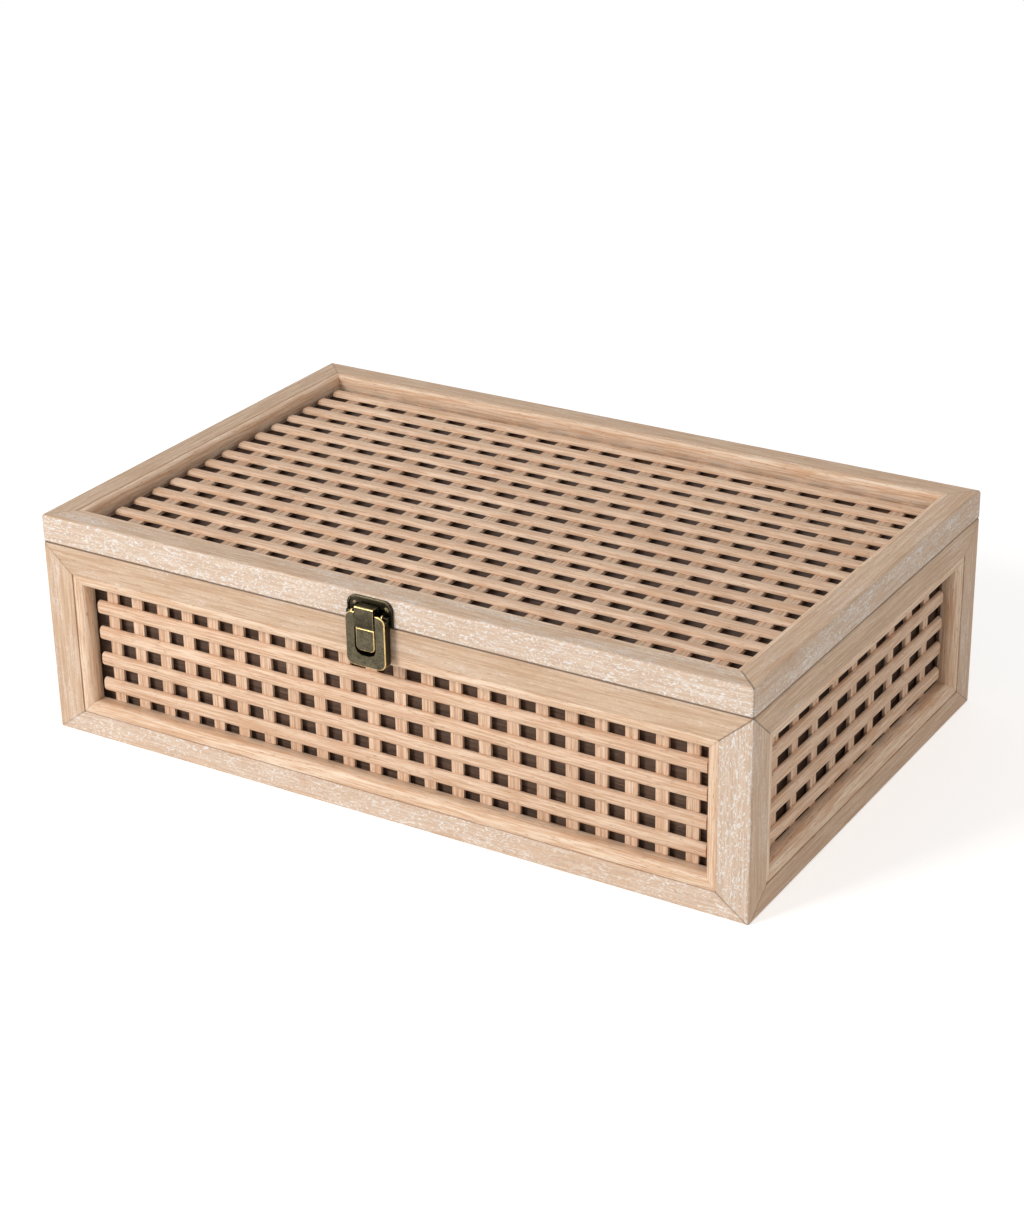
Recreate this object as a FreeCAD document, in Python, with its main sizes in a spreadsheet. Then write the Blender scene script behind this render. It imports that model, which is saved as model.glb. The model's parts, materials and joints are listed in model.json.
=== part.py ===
"""A flat wooden keepsake box with a hinged lid.

The four walls and the lid are mitred frames. Each frame holds a lattice of thin wooden strips
behind a slim mitred bead. A small toggle latch holds the lid shut at the front, and two small
hinges carry it at the back. Millimetres, +Z up, origin under the middle of the box.
"""
import FreeCAD, Part
import os
import re

import Sketcher

# Driving sizes, in millimetres, degrees or counts.
SIZES = {
    # Box as a whole.
    "box_width": 380,
    "box_depth": 245,
    "body_height": 100,
    "seam_gap": 0.4,
    "lid_height": 13.6,
    # Mitred wall frames.
    "wall_thickness": 14,
    "stile_width": 16,
    "rail_height": 14,
    "bottom_rail_height": 12,
    "corner_round": 1.4,
    "mitre_gap": 0.12,
    # Mitred lid frame.
    "lid_rim_width": 12.3,
    # Bead inside each wall frame, measured inwards from the outer face.
    "bead_width": 6,
    "bead_setback": 0.5,
    "bead_round": 3,
    "bead_outer_round": 0.6,
    # Bead inside the lid frame.
    "lid_bead_width": 3,
    "lid_bead_setback": 0.3,
    "lid_bead_round": 1.6,
    # Horizontal slats of the walls, and how deep their backs lie. A margin is the distance from the
    # frame to the middle of the first and last strip.
    "slat_width": 7.1,
    "slat_thickness": 2.2,
    "slat_round": 1.9,
    "slat_count": 4,
    "slat_margin": 16.45,
    "slat_back_depth": 8.9,
    "slat_end_gap": 2.7,
    "long_slat_drop": 2,
    "side_slat_drop": 4.2,
    # Uprights behind the slats.
    "upright_width": 6.2,
    "upright_thickness": 1.8,
    "upright_round": 0.6,
    "long_upright_count": 22,
    "long_upright_margin": 16.5,
    "side_upright_count": 9,
    "side_upright_margin": 24.1,
    # Lid lattice: slats along the box over cross strips, which lie a little above the rim's underside.
    "lid_slat_width": 6.8,
    "lid_slat_count": 15,
    "lid_slat_margin": 10.1,
    "cross_strip_width": 7,
    "cross_strip_count": 18,
    "cross_strip_margin": 19.6,
    "cross_strip_lift": 3.2,
    # Thin boards that back the lattices, flush with the inside of their frames.
    "lining_thickness": 1.6,
    # Bottom board in a rebate of the bottom rails.
    "board_thickness": 4,
    "rebate_depth": 7,
    "board_clearance": 0.2,
    # Hinges.
    "hinge_spacing": 230,
    "hinge_length": 26,
    "leaf_height": 11,
    "leaf_thickness": 1,
    "barrel_radius": 1.9,
    "barrel_wood_gap": 0.2,
    "knuckle_gap": 0.2,
    "middle_knuckle": 8.4,
    "pin_radius": 0.9,
    "pin_clearance": 0.05,
    "pin_head_radius": 1.3,
    "pin_head_height": 0.7,
    "lid_open_angle": 100,
    "stop_gap": 0.1,
    "stop_reach": 1.2,
    # Hinge screws.
    "screw_spacing": 16,
    "screw_height": 7,
    "screw_radius": 1.1,
    "screw_head_radius": 2.1,
    "screw_head_height": 0.9,
    "screw_length": 9,
    # Latch. Its levels are counted from the middle of the seam, and "out" is out from the front face.
    "sheet_thickness": 0.7,
    "plate_seam_gap": 0.6,
    "strap_width": 10,
    # Catch plate on the lid and its upturned lip.
    "catch_margin": 1.4,
    "catch_top_margin": 1,
    "catch_round": 4.5,
    "catch_rim_height": 0.7,
    "lip_side_gap": 0.3,
    "lip_low": 3.6,
    "lip_high": 8.3,
    # Base plate on the box, with its raised block and two ears.
    "base_margin": 0.5,
    "base_inset": 2,
    "block_inset": 2.2,
    "block_high": -0.6,
    "block_proud": 0.1,
    "block_round": 2.4,
    "ear_low": -7.2,
    "ear_radius": 1.6,
    "ear_gap": 0.5,
    # Lever: a dished plate with a tall window.
    "lever_width": 21.2,
    "lever_low": -19.7,
    "lever_top_reach": 1.5,
    "lever_face": 5.8,
    "lever_back_gap": 0.7,
    "lever_corner": 4,
    "window_gap": 0.6,
    "window_foot": 5.8,
    "window_round": 3.4,
    # Pivots of the lever and of the hook.
    "lever_pivot_out": 2.8,
    "lever_pivot_level": 5.3,
    "rivet_radius": 0.8,
    "rivet_head_radius": 1.2,
    "rivet_head_height": 0.35,
    "hook_pivot_inset": 1.6,
    "hook_pivot_level": 2.2,
    "hook_pin_radius": 0.6,
    # Hook: front, top bend, turned-down tip and two cheeks.
    "strap_gap": 0.5,
    "hook_proud": 0.5,
    "hook_headroom": 0.8,
    "hook_engagement": 0.8,
    "hook_tip_gap": 0.4,
    "hook_swing_gap": 1.4,
    "hook_cheek_depth": 1,
    "hook_eye_radius": 0.95,
    # Latch nails.
    "nail_radius": 0.6,
    "nail_head_radius": 1.25,
    "nail_head_height": 0.6,
    "nail_length": 9,
    "nail_clearance": 0.03,
    "nail_edge_gap": 2.25,
    "nail_top_gap": 3.05,
    "nail_side_gap": 0.2,
    # How far a cut runs past the stock it trims.
    "cut_over": 1,
}

HALF_DEPTH = "box_depth / 2"
LID_LOW = "(body_height + seam_gap)"
LID_HIGH = "(body_height + seam_gap + lid_height)"
RAIL_TOP_LOW = "(body_height - rail_height)"
LID_SLAT_BACK = "(body_height + seam_gap + cross_strip_lift + upright_thickness)"
LID_SLAT_TOP = "(body_height + seam_gap + cross_strip_lift + upright_thickness + slat_thickness)"
HALF_MITRE = "(mitre_gap / 2)"
BARREL_OUT = "(barrel_radius + barrel_wood_gap)"

# Latch sizes that follow from others.
SEAM = "(body_height + seam_gap / 2)"
HALF_STRAP = "(strap_width / 2)"
HALF_WINDOW = "(strap_width / 2 + window_gap)"
HALF_LEVER = "(lever_width / 2)"
HALF_CATCH = "(lever_width / 2 + catch_margin)"
CATCH_HIGH = "(seam_gap / 2 + lid_height - catch_top_margin)"
EAR_PLACE = "((strap_width / 2 + window_gap + lever_width / 2) / 2)"
HALF_BASE = "(%s + sheet_thickness / 2 + base_margin)" % EAR_PLACE
LEVER_BACK = "(sheet_thickness + lever_back_gap)"
LEVER_HIGH = "(lever_pivot_level + lever_top_reach)"
WINDOW_LOW = "(lever_low + window_foot)"
BLOCK_LOW = "(lever_low + window_foot + block_inset)"
BLOCK_FACE = "(lever_face + block_proud)"
HOOK_FACE = "(lever_face + hook_proud)"
HOOK_LOW = "(block_high + strap_gap)"
HOOK_HIGH = "(lip_high + hook_headroom + sheet_thickness)"
HOOK_TIP_IN = "(sheet_thickness + hook_tip_gap)"
HOOK_PIVOT_OUT = "(lever_face + hook_proud - hook_pivot_inset)"
LIP_IN = "(2 * sheet_thickness + hook_tip_gap + hook_swing_gap)"
LIP_OUT = "(3 * sheet_thickness + hook_tip_gap + hook_swing_gap)"
NEAR = 1e-4

doc = FreeCAD.newDocument("keepsake_box")
sheet = doc.addObject("Spreadsheet::Sheet", "Sizes")
for row, (name, number) in enumerate(SIZES.items(), start=1):
    sheet.set("A%d" % row, name)
    sheet.set("B%d" % row, str(number))
    sheet.setAlias("B%d" % row, name)
doc.recompute()

nodes = []


def linked(expression):
    """The expression with each size name pointing at its cell in the sheet."""
    return re.sub(r"[a-z]\w*", lambda word: "Sizes." + word.group() if word.group() in SIZES else word.group(),
                  expression)


def value(expression):
    """The number that an expression of size names gives now."""
    return float(sheet.evalExpression(linked(expression)))


def bind(item, prop, expression):
    item.setExpression(prop, linked(expression))


def place(item, x="0", y="0", z="0", turn=0):
    """Put a sub-part at a place bound to the sheet, turned about the vertical by whole degrees."""
    item.Placement = FreeCAD.Placement(FreeCAD.Vector(value(x), value(y), value(z)),
                                       FreeCAD.Rotation(FreeCAD.Vector(0, 0, 1), turn))
    bind(item, "Placement.Base.x", x)
    bind(item, "Placement.Base.y", y)
    bind(item, "Placement.Base.z", z)


def new_body(label, spot):
    """A body that becomes one node; spot is its placement as keywords of place()."""
    body = doc.addObject("PartDesign::Body", label)
    body.Label = label
    place(body, **spot)
    nodes.append(body)
    return body


def new_sketch(body, plane, name, level="0"):
    """A sketch on one of the body's own origin planes, raised along its normal."""
    sketch = body.newObject("Sketcher::SketchObject", name)
    support = next(item for item in body.Origin.OriginFeatures if item.Role == plane)
    sketch.AttachmentSupport = [(support, "")]
    sketch.MapMode = "FlatFace"
    bind(sketch, "AttachmentOffset.Base.z", level)
    return sketch


def hold(sketch, geometry, point, x, y):
    """Hold one point of a sketch at expressions for its two coordinates."""
    for kind, expression in (("DistanceX", x), ("DistanceY", y)):
        number = sketch.addConstraint(Sketcher.Constraint(kind, -1, 1, geometry, point, value(expression)))
        bind(sketch, "Constraints[%d]" % number, expression)


def polygons(body, plane, name, loops, level="0"):
    """A sketch of closed polygons; each corner is a pair of expressions."""
    sketch = new_sketch(body, plane, name, level)
    for loop in loops:
        corners = [FreeCAD.Vector(value(x), value(y), 0) for x, y in loop]
        first = sketch.GeometryCount
        count = len(corners)
        for index, corner in enumerate(corners):
            sketch.addGeometry(Part.LineSegment(corner, corners[(index + 1) % count]), False)
        for index in range(count):
            following = first + (index + 1) % count
            sketch.addConstraint(Sketcher.Constraint("Coincident", first + index, 2, following, 1))
        for index, (x, y) in enumerate(loop):
            hold(sketch, first + index, 1, x, y)
    return sketch


def circles(body, plane, name, centres, radius, level="0"):
    """A sketch of equal circles; each centre is a pair of expressions."""
    sketch = new_sketch(body, plane, name, level)
    for x, y in centres:
        middle = FreeCAD.Vector(value(x), value(y), 0)
        number = sketch.addGeometry(Part.Circle(middle, FreeCAD.Vector(0, 0, 1), value(radius)), False)
        hold(sketch, number, 3, x, y)
        size = sketch.addConstraint(Sketcher.Constraint("Radius", number, value(radius)))
        bind(sketch, "Constraints[%d]" % size, radius)
    return sketch


def rectangle(left, low, right, high):
    return [(left, low), (right, low), (right, high), (left, high)]


def pad(body, sketch, length, reverse=False):
    """Raise a sketch by a length, along its normal or against it."""
    feature = body.newObject("PartDesign::Pad", "stock")
    feature.Profile = sketch
    feature.Reversed = reverse
    bind(feature, "Length", length)
    doc.recompute()
    return feature


def pocket(body, sketch, length=None, reverse=False):
    """Cut a sketch out of the body, right through or to a length, and make sure that it cut."""
    before = body.Tip.Shape.Volume
    feature = body.newObject("PartDesign::Pocket", "cut")
    feature.Profile = sketch
    feature.Reversed = reverse
    if length is None:
        feature.Type = "ThroughAll"
        feature.Midplane = True
    else:
        bind(feature, "Length", length)
    doc.recompute()
    if feature.Shape.Volume > before - NEAR:
        raise RuntimeError("a cut of %s removes nothing" % body.Label)
    return feature


def lies_on(edge, **levels):
    """Whether both ends and the middle of an edge lie at the given x, y or z."""
    first, last = edge.ParameterRange
    points = [edge.valueAt(first), edge.valueAt((first + last) / 2), edge.valueAt(last)]
    return all(abs(getattr(point, axis) - level) < NEAR for axis, level in levels.items() for point in points)


def round_edges(body, radius, places):
    """Round the edges that lie at any of the given places, each a dict of axis to expression."""
    tip = body.Tip
    spots = [{axis: value(level) for axis, level in spot.items()} for spot in places]
    names = ["Edge%d" % number for number, edge in enumerate(tip.Shape.Edges, start=1)
             if any(lies_on(edge, **spot) for spot in spots)]
    feature = body.newObject("PartDesign::Fillet", "eased")
    feature.Base = (tip, names)
    bind(feature, "Radius", radius)
    doc.recompute()
    return feature


def repeat(body, axis, span, count):
    """Repeat the whole body along one of its own axes, from the piece it has to the end of a span."""
    pattern = body.newObject("PartDesign::LinearPattern", "row")
    pattern.TransformMode = "Whole shape"
    direction = next(item for item in body.Origin.OriginFeatures if item.Role == axis)
    pattern.Direction = (direction, [""])
    pattern.Mode = "Extent"
    bind(pattern, "Length", span)
    bind(pattern, "Occurrences", count)
    body.Tip = pattern
    doc.recompute()
    return pattern


# Walls. Each is drawn in its own frame: x along the wall from left to right as seen from outside,
# y inwards from the outer face, z up.
WALLS = {
    "front": {"length": "box_width", "spot": {"y": "-box_depth / 2"}},
    "right": {"length": "box_depth", "spot": {"x": "box_width / 2", "turn": 90}},
    "back": {"length": "box_width", "spot": {"y": "box_depth / 2", "turn": 180}},
    "left": {"length": "box_depth", "spot": {"x": "-box_width / 2", "turn": 270}},
}


def corner_mitre(half, sign):
    """Plan outline of what the 45 degree corner mitre removes at one end of a wall."""
    edge = "%d * (%s - %s)" % (sign, half, HALF_MITRE)
    inner = "%d * (%s - wall_thickness - %s)" % (sign, half, HALF_MITRE)
    outside = "%d * (%s + cut_over)" % (sign, half)
    return [(edge, "0"), (inner, "wall_thickness"), (outside, "wall_thickness"), (outside, "0")]


def wall_rail(name, wall, upper):
    """A horizontal member: square stock with eased edges, mitred on the face and at the corners."""
    half = "%s / 2" % wall["length"]
    low, high = (RAIL_TOP_LOW, "body_height") if upper else ("0", "bottom_rail_height")
    outer, inner = (high, low) if upper else (low, high)
    body = new_body("%s_%s_rail" % (name, "top" if upper else "bottom"), wall["spot"])
    pad(body, polygons(body, "XZ_Plane", "face", [rectangle("-" + half, low, half, high)]), "wall_thickness", True)
    ends = [{"x": "-" + half, "y": "0"}, {"x": half, "y": "0"}]
    ends += [{"x": sign + half, "z": outer} for sign in ("-", "")]
    round_edges(body, "corner_round", ends + [{"y": "0", "z": outer}])
    mitres = []
    for sign in (-1, 1):
        tip = "%d * (%s - %s)" % (sign, half, HALF_MITRE)
        heel = "%d * (%s - stile_width - %s)" % (sign, half, HALF_MITRE)
        outside = "%d * (%s + cut_over)" % (sign, half)
        mitres.append([(tip, outer), (heel, inner), (outside, inner), (outside, outer)])
    pocket(body, polygons(body, "XZ_Plane", "face_mitres", mitres))
    pocket(body, polygons(body, "XY_Plane", "corner_mitres", [corner_mitre(half, sign) for sign in (-1, 1)]))
    if not upper:
        rebate = rectangle("-" + half, "wall_thickness - rebate_depth", half, "wall_thickness + cut_over")
        pocket(body, polygons(body, "XY_Plane", "rebate", [rebate]), "board_thickness", True)


def wall_stile(name, wall, side, sign):
    """A vertical member, mitred against both rails and against the next wall's stile."""
    half = "%s / 2" % wall["length"]
    outer = "%d * %s" % (sign, half)
    inner = "%d * (%s - stile_width)" % (sign, half)
    tip = "%d * (%s + %s)" % (sign, half, HALF_MITRE)
    heel = "%d * (%s - stile_width + %s)" % (sign, half, HALF_MITRE)
    clear = "%d * (%s - stile_width - cut_over)" % (sign, half)
    body = new_body("%s_%s_stile" % (name, side), wall["spot"])
    pad(body, polygons(body, "XZ_Plane", "face", [rectangle(outer, "0", inner, "body_height")]), "wall_thickness",
        True)
    arrises = [{"x": outer, "y": "0"}]
    for level in ("0", "body_height"):
        arrises += [{"y": "0", "z": level}, {"x": outer, "z": level}]
    round_edges(body, "corner_round", arrises)
    mitres = [
        [(tip, "body_height"), (heel, RAIL_TOP_LOW), (clear, RAIL_TOP_LOW), (clear, "body_height + cut_over"),
         (tip, "body_height + cut_over")],
        [(tip, "0"), (heel, "bottom_rail_height"), (clear, "bottom_rail_height"), (clear, "-cut_over"),
         (tip, "-cut_over")],
    ]
    pocket(body, polygons(body, "XZ_Plane", "face_mitres", mitres))
    pocket(body, polygons(body, "XY_Plane", "corner_mitre", [corner_mitre(half, sign)]))


def frame_strips(half_x, low, high, width):
    """Four mitred strips round an opening, a hair apart at the mitres."""
    gap = HALF_MITRE
    in_x = "(%s - %s)" % (half_x, width)
    in_low = "(%s + %s)" % (low, width)
    in_high = "(%s - %s)" % (high, width)
    strips = []
    for edge, inner in ((low, in_low), (high, in_high)):
        strips.append([("-(%s - %s)" % (half_x, gap), edge), ("%s - %s" % (half_x, gap), edge),
                       ("%s - %s" % (in_x, gap), inner), ("-(%s - %s)" % (in_x, gap), inner)])
    for sign in ("-", ""):
        strips.append([("%s%s" % (sign, half_x), "%s + %s" % (low, gap)),
                       ("%s%s" % (sign, in_x), "%s + %s" % (in_low, gap)),
                       ("%s%s" % (sign, in_x), "%s - %s" % (in_high, gap)),
                       ("%s%s" % (sign, half_x), "%s - %s" % (high, gap))])
    return strips


def wall_bead(name, wall):
    """The slim moulding inside a wall frame, rounded down towards the lattice."""
    half = "(%s / 2 - stile_width)" % wall["length"]
    body = new_body("%s_bead" % name, wall["spot"])
    strips = frame_strips(half, "bottom_rail_height", RAIL_TOP_LOW, "bead_width")
    sketch = polygons(body, "XZ_Plane", "strips", strips, "-bead_setback")
    pad(body, sketch, "slat_back_depth - bead_setback", True)
    inner_x = "(%s - bead_width)" % half
    inner = [{"y": "bead_setback", "z": "bottom_rail_height + bead_width"},
             {"y": "bead_setback", "z": RAIL_TOP_LOW + " - bead_width"},
             {"y": "bead_setback", "x": "-" + inner_x}, {"y": "bead_setback", "x": inner_x}]
    round_edges(body, "bead_round", inner)
    outer = [{"y": "bead_setback", "z": "bottom_rail_height"}, {"y": "bead_setback", "z": RAIL_TOP_LOW},
             {"y": "bead_setback", "x": "-" + half}, {"y": "bead_setback", "x": half}]
    round_edges(body, "bead_outer_round", outer)


def wall_slats(name, wall, drop):
    """The horizontal slats: flat at the back, rounded in front, ends just short of the bead."""
    half = "(%s / 2 - stile_width - bead_width - slat_end_gap)" % wall["length"]
    span = "(body_height - rail_height - bottom_rail_height - 2 * slat_margin)"
    first = "((%s + bottom_rail_height) / 2 - %s - %s / 2)" % (RAIL_TOP_LOW, drop, span)
    low = "%s - slat_width / 2" % first
    high = "%s + slat_width / 2" % first
    front = "slat_back_depth - slat_thickness"
    body = new_body("%s_slats" % name, wall["spot"])
    sketch = polygons(body, "XZ_Plane", "slat", [rectangle("-" + half, low, half, high)], "-(%s)" % front)
    pad(body, sketch, "slat_thickness", True)
    round_edges(body, "slat_round", [{"y": front, "z": low}, {"y": front, "z": high}])
    repeat(body, "Z_Axis", span, "slat_count")


def wall_uprights(name, wall, margin, count):
    """The uprights behind the slats, from rail to rail behind the bead."""
    span = "(%s - 2 * stile_width - 2 * %s)" % (wall["length"], margin)
    first = "(-%s / 2)" % span
    left = "%s - upright_width / 2" % first
    right = "%s + upright_width / 2" % first
    body = new_body("%s_uprights" % name, wall["spot"])
    sketch = polygons(body, "XZ_Plane", "upright", [rectangle(left, "bottom_rail_height", right, RAIL_TOP_LOW)],
                      "-slat_back_depth")
    pad(body, sketch, "upright_thickness", True)
    round_edges(body, "upright_round", [{"y": "slat_back_depth", "x": left}, {"y": "slat_back_depth", "x": right}])
    repeat(body, "X_Axis", span, count)


def wall_lining(name, wall):
    """The thin board that closes a wall frame behind its lattice."""
    half = "(%s / 2 - stile_width)" % wall["length"]
    body = new_body("%s_lining" % name, wall["spot"])
    sketch = polygons(body, "XZ_Plane", "board",
                      [rectangle("-" + half, "bottom_rail_height", half, RAIL_TOP_LOW)],
                      "-(wall_thickness - lining_thickness)")
    pad(body, sketch, "lining_thickness", True)


def make_walls():
    for name, wall in WALLS.items():
        long_wall = name in ("front", "back")
        wall_rail(name, wall, True)
        wall_rail(name, wall, False)
        wall_stile(name, wall, "left", -1)
        wall_stile(name, wall, "right", 1)
        wall_bead(name, wall)
        kind = "long" if long_wall else "side"
        wall_slats(name, wall, kind + "_slat_drop")
        wall_uprights(name, wall, kind + "_upright_margin", kind + "_upright_count")
        wall_lining(name, wall)


def make_bottom():
    """A thin board lying in the rebates of the four bottom rails, flush with their undersides."""
    board = doc.addObject("Part::Box", "bottom_board")
    board.Label = "bottom_board"
    inset = "(wall_thickness - rebate_depth + board_clearance)"
    bind(board, "Length", "box_width - 2 * %s" % inset)
    bind(board, "Width", "box_depth - 2 * %s" % inset)
    bind(board, "Height", "board_thickness")
    place(board, x="-(box_width / 2 - %s)" % inset, y="-(box_depth / 2 - %s)" % inset)
    nodes.append(board)


def lid_member(side, length, spot):
    """One mitred member of the lid frame, drawn like a wall: outer face at y = 0."""
    half = "(%s / 2)" % length
    body = new_body("lid_%s_rim" % side, dict(spot, z=LID_LOW))
    pad(body, polygons(body, "XY_Plane", "plan", [rectangle("-" + half, "0", half, "lid_rim_width")]), "lid_height")
    arrises = [{"y": "0", "z": "lid_height"}]
    for sign in ("-", ""):
        arrises += [{"x": sign + half, "y": "0"}, {"x": sign + half, "z": "lid_height"}]
    round_edges(body, "corner_round", arrises)
    mitres = []
    for sign in (-1, 1):
        tip = "%d * (%s - %s)" % (sign, half, HALF_MITRE)
        heel = "%d * (%s - lid_rim_width - %s)" % (sign, half, HALF_MITRE)
        outside = "%d * (%s + cut_over)" % (sign, half)
        mitres.append([(tip, "0"), (heel, "lid_rim_width"), (outside, "lid_rim_width"), (outside, "0")])
    pocket(body, polygons(body, "XY_Plane", "mitres", mitres))


def make_lid():
    for name, wall in WALLS.items():
        lid_member(name, wall["length"], wall["spot"])
    half_x = "(box_width / 2 - lid_rim_width)"
    half_y = "(box_depth / 2 - lid_rim_width)"
    crest = "(%s - lid_bead_setback)" % LID_HIGH

    bead = new_body("lid_bead", {})
    strips = frame_strips(half_x, "-" + half_y, half_y, "lid_bead_width")
    pad(bead, polygons(bead, "XY_Plane", "strips", strips, LID_SLAT_BACK), "%s - %s" % (crest, LID_SLAT_BACK))
    inner = []
    for sign in ("-", ""):
        inner += [{"z": crest, "x": "%s(%s - lid_bead_width)" % (sign, half_x)},
                  {"z": crest, "y": "%s(%s - lid_bead_width)" % (sign, half_y)}]
    round_edges(bead, "lid_bead_round", inner)

    slat_half = "(%s - lid_bead_width - slat_end_gap)" % half_x
    span = "(2 * %s - 2 * lid_slat_margin)" % half_y
    first = "(-%s / 2)" % span
    low = "%s - lid_slat_width / 2" % first
    high = "%s + lid_slat_width / 2" % first
    slats = new_body("lid_slats", {})
    plan = [rectangle("-" + slat_half, low, slat_half, high)]
    pad(slats, polygons(slats, "XY_Plane", "slat", plan, LID_SLAT_BACK), "slat_thickness")
    round_edges(slats, "slat_round", [{"z": LID_SLAT_TOP, "y": low}, {"z": LID_SLAT_TOP, "y": high}])
    repeat(slats, "Y_Axis", span, "lid_slat_count")

    span = "(2 * %s - 2 * cross_strip_margin)" % half_x
    first = "(-%s / 2)" % span
    left = "%s - cross_strip_width / 2" % first
    right = "%s + cross_strip_width / 2" % first
    strips = new_body("lid_cross_strips", {})
    plan = [rectangle(left, "-" + half_y, right, half_y)]
    sketch = polygons(strips, "XY_Plane", "strip", plan, LID_SLAT_BACK)
    pad(strips, sketch, "upright_thickness", True)
    round_edges(strips, "upright_round", [{"z": LID_SLAT_BACK, "x": left}, {"z": LID_SLAT_BACK, "x": right}])
    repeat(strips, "X_Axis", span, "cross_strip_count")

    lining = new_body("lid_lining", {})
    plan = [rectangle("-" + half_x, "-" + half_y, half_x, half_y)]
    pad(lining, polygons(lining, "XY_Plane", "board", plan, LID_LOW), "lining_thickness")


# Hinges. Each is drawn in its own frame: x along the pin, y outwards from the back of the box,
# z up from the middle of the seam.
HINGES = {"left": "-hinge_spacing / 2", "right": "hinge_spacing / 2"}


def hinge_leaf(side, upper):
    """One leaf with its knuckles; the upper leaf's knuckle has a lug that stops the open lid."""
    sign = "" if upper else "-"
    name = "%s_hinge_%s_leaf" % (side, "upper" if upper else "lower")
    body = new_body(name, {"x": HINGES[side], "y": HALF_DEPTH, "z": SEAM})
    half = "(hinge_length / 2)"
    middle = "(middle_knuckle / 2)"
    clear = "%s(barrel_radius + knuckle_gap + seam_gap / 2)" % sign
    edge = "%s(leaf_height)" % sign
    plate = rectangle("-" + half, clear, half, edge)
    pad(body, polygons(body, "XZ_Plane", "plate", [plate]), "leaf_thickness", True)
    spans = [("-" + middle, middle)] if upper else [("-" + half, "-(%s + knuckle_gap)" % middle),
                                                   ("%s + knuckle_gap" % middle, half)]
    for left, right in spans:
        run = "(%s) - (%s)" % (right, left)
        pad(body, circles(body, "YZ_Plane", "knuckle", [(BARREL_OUT, "0")], "barrel_radius", left), run)
        root = [("0", "0"), (BARREL_OUT, "0"), (BARREL_OUT, "%s(barrel_radius / 2)" % sign),
                ("leaf_thickness", clear), ("0", clear)]
        pad(body, polygons(body, "YZ_Plane", "neck", [root], left), run)
    if upper:
        stop_lug(body, middle)
    bore = circles(body, "YZ_Plane", "bore", [(BARREL_OUT, "0")], "pin_radius + pin_clearance")
    pocket(body, bore)
    holes = [("-screw_spacing / 2", sign + "screw_height"), ("screw_spacing / 2", sign + "screw_height")]
    pocket(body, circles(body, "XZ_Plane", "screw_holes", holes, "screw_radius + pin_clearance"))


def stop_lug(body, middle):
    """A lug on the barrel that comes down on the lower leaf when the lid is fully open."""
    tilt = "(lid_open_angle - 90)"
    thick = "(%s - leaf_thickness - stop_gap)" % BARREL_OUT
    outline = []
    for reach, side in (("barrel_radius / 2", -1), ("barrel_radius + stop_reach", -1),
                        ("barrel_radius + stop_reach", 1), ("barrel_radius / 2", 1)):
        along = "(%s) * cos(%s) - %d * %s * sin(%s)" % (reach, tilt, side, thick, tilt)
        across = "(%s) * sin(%s) + %d * %s * cos(%s)" % (reach, tilt, side, thick, tilt)
        outline.append(("%s + %s" % (BARREL_OUT, along), across))
    pad(body, polygons(body, "YZ_Plane", "lug", [outline], "-" + middle), "middle_knuckle")


def hinge_pin(side):
    """The hinge's pin, with a head at each end that keeps it in the knuckles."""
    body = new_body("%s_hinge_pin" % side, {"x": HINGES[side], "y": HALF_DEPTH, "z": SEAM})
    reach = "(hinge_length / 2 + knuckle_gap)"
    pad(body, circles(body, "YZ_Plane", "shank", [(BARREL_OUT, "0")], "pin_radius", "-" + reach), "2 * " + reach)
    for level, reverse in (("-" + reach, True), (reach, False)):
        pad(body, circles(body, "YZ_Plane", "head", [(BARREL_OUT, "0")], "pin_head_radius", level),
            "pin_head_height", reverse)


def fastener(x, y, z, radius, head_radius, head_height, length):
    """A domed head on a plain shank, pointing along +Y from the head's seat at (x, y, z)."""
    dome_radius = (head_radius ** 2 + head_height ** 2) / (2 * head_height)
    ball = Part.makeSphere(dome_radius, FreeCAD.Vector(x, y + dome_radius - head_height, z))
    block = Part.makeBox(4 * head_radius, head_height, 4 * head_radius,
                         FreeCAD.Vector(x - 2 * head_radius, y - head_height, z - 2 * head_radius))
    shank = Part.makeCylinder(radius, length, FreeCAD.Vector(x, y, z), FreeCAD.Vector(0, 1, 0))
    return ball.common(block).fuse(shank)


def fasteners(label, spots, kind, length, spot):
    """Equal fasteners in one node, on the side of the box that the placement turns to."""
    sizes = [value(kind + ending) for ending in ("_radius", "_head_radius", "_head_height")]
    group = doc.addObject("Part::Feature", label)
    group.Label = label
    group.Shape = Part.makeCompound([fastener(x, y, z, *sizes, length) for x, y, z in spots])
    place(group, **spot)
    nodes.append(group)


def make_hinges():
    for side in HINGES:
        hinge_leaf(side, False)
        hinge_leaf(side, True)
        hinge_pin(side)
    for level, sign in (("lower", -1), ("upper", 1)):
        height = value(SEAM) + sign * value("screw_height")
        spots = [(hinge + offset, -value("leaf_thickness"), height)
                 for hinge in (-value("hinge_spacing / 2"), value("hinge_spacing / 2"))
                 for offset in (-value("screw_spacing / 2"), value("screw_spacing / 2"))]
        fasteners("hinge_%s_screws" % level, spots, "screw", value("screw_length"), {"y": HALF_DEPTH, "turn": 180})


# Latch. It is drawn at the middle of the front and of the seam: x across, y inwards from the front
# face, z up, so a distance out from the face is a negative y.
LATCH_SPOT = {"y": "-" + HALF_DEPTH, "z": SEAM}


def cut_corner(radius, inset):
    """How far the chord of a corner's cut lies inside it, where the cut follows a wall of that inset."""
    return "((%s - %s) * (1 - cos(45)))" % (radius, inset)


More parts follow.
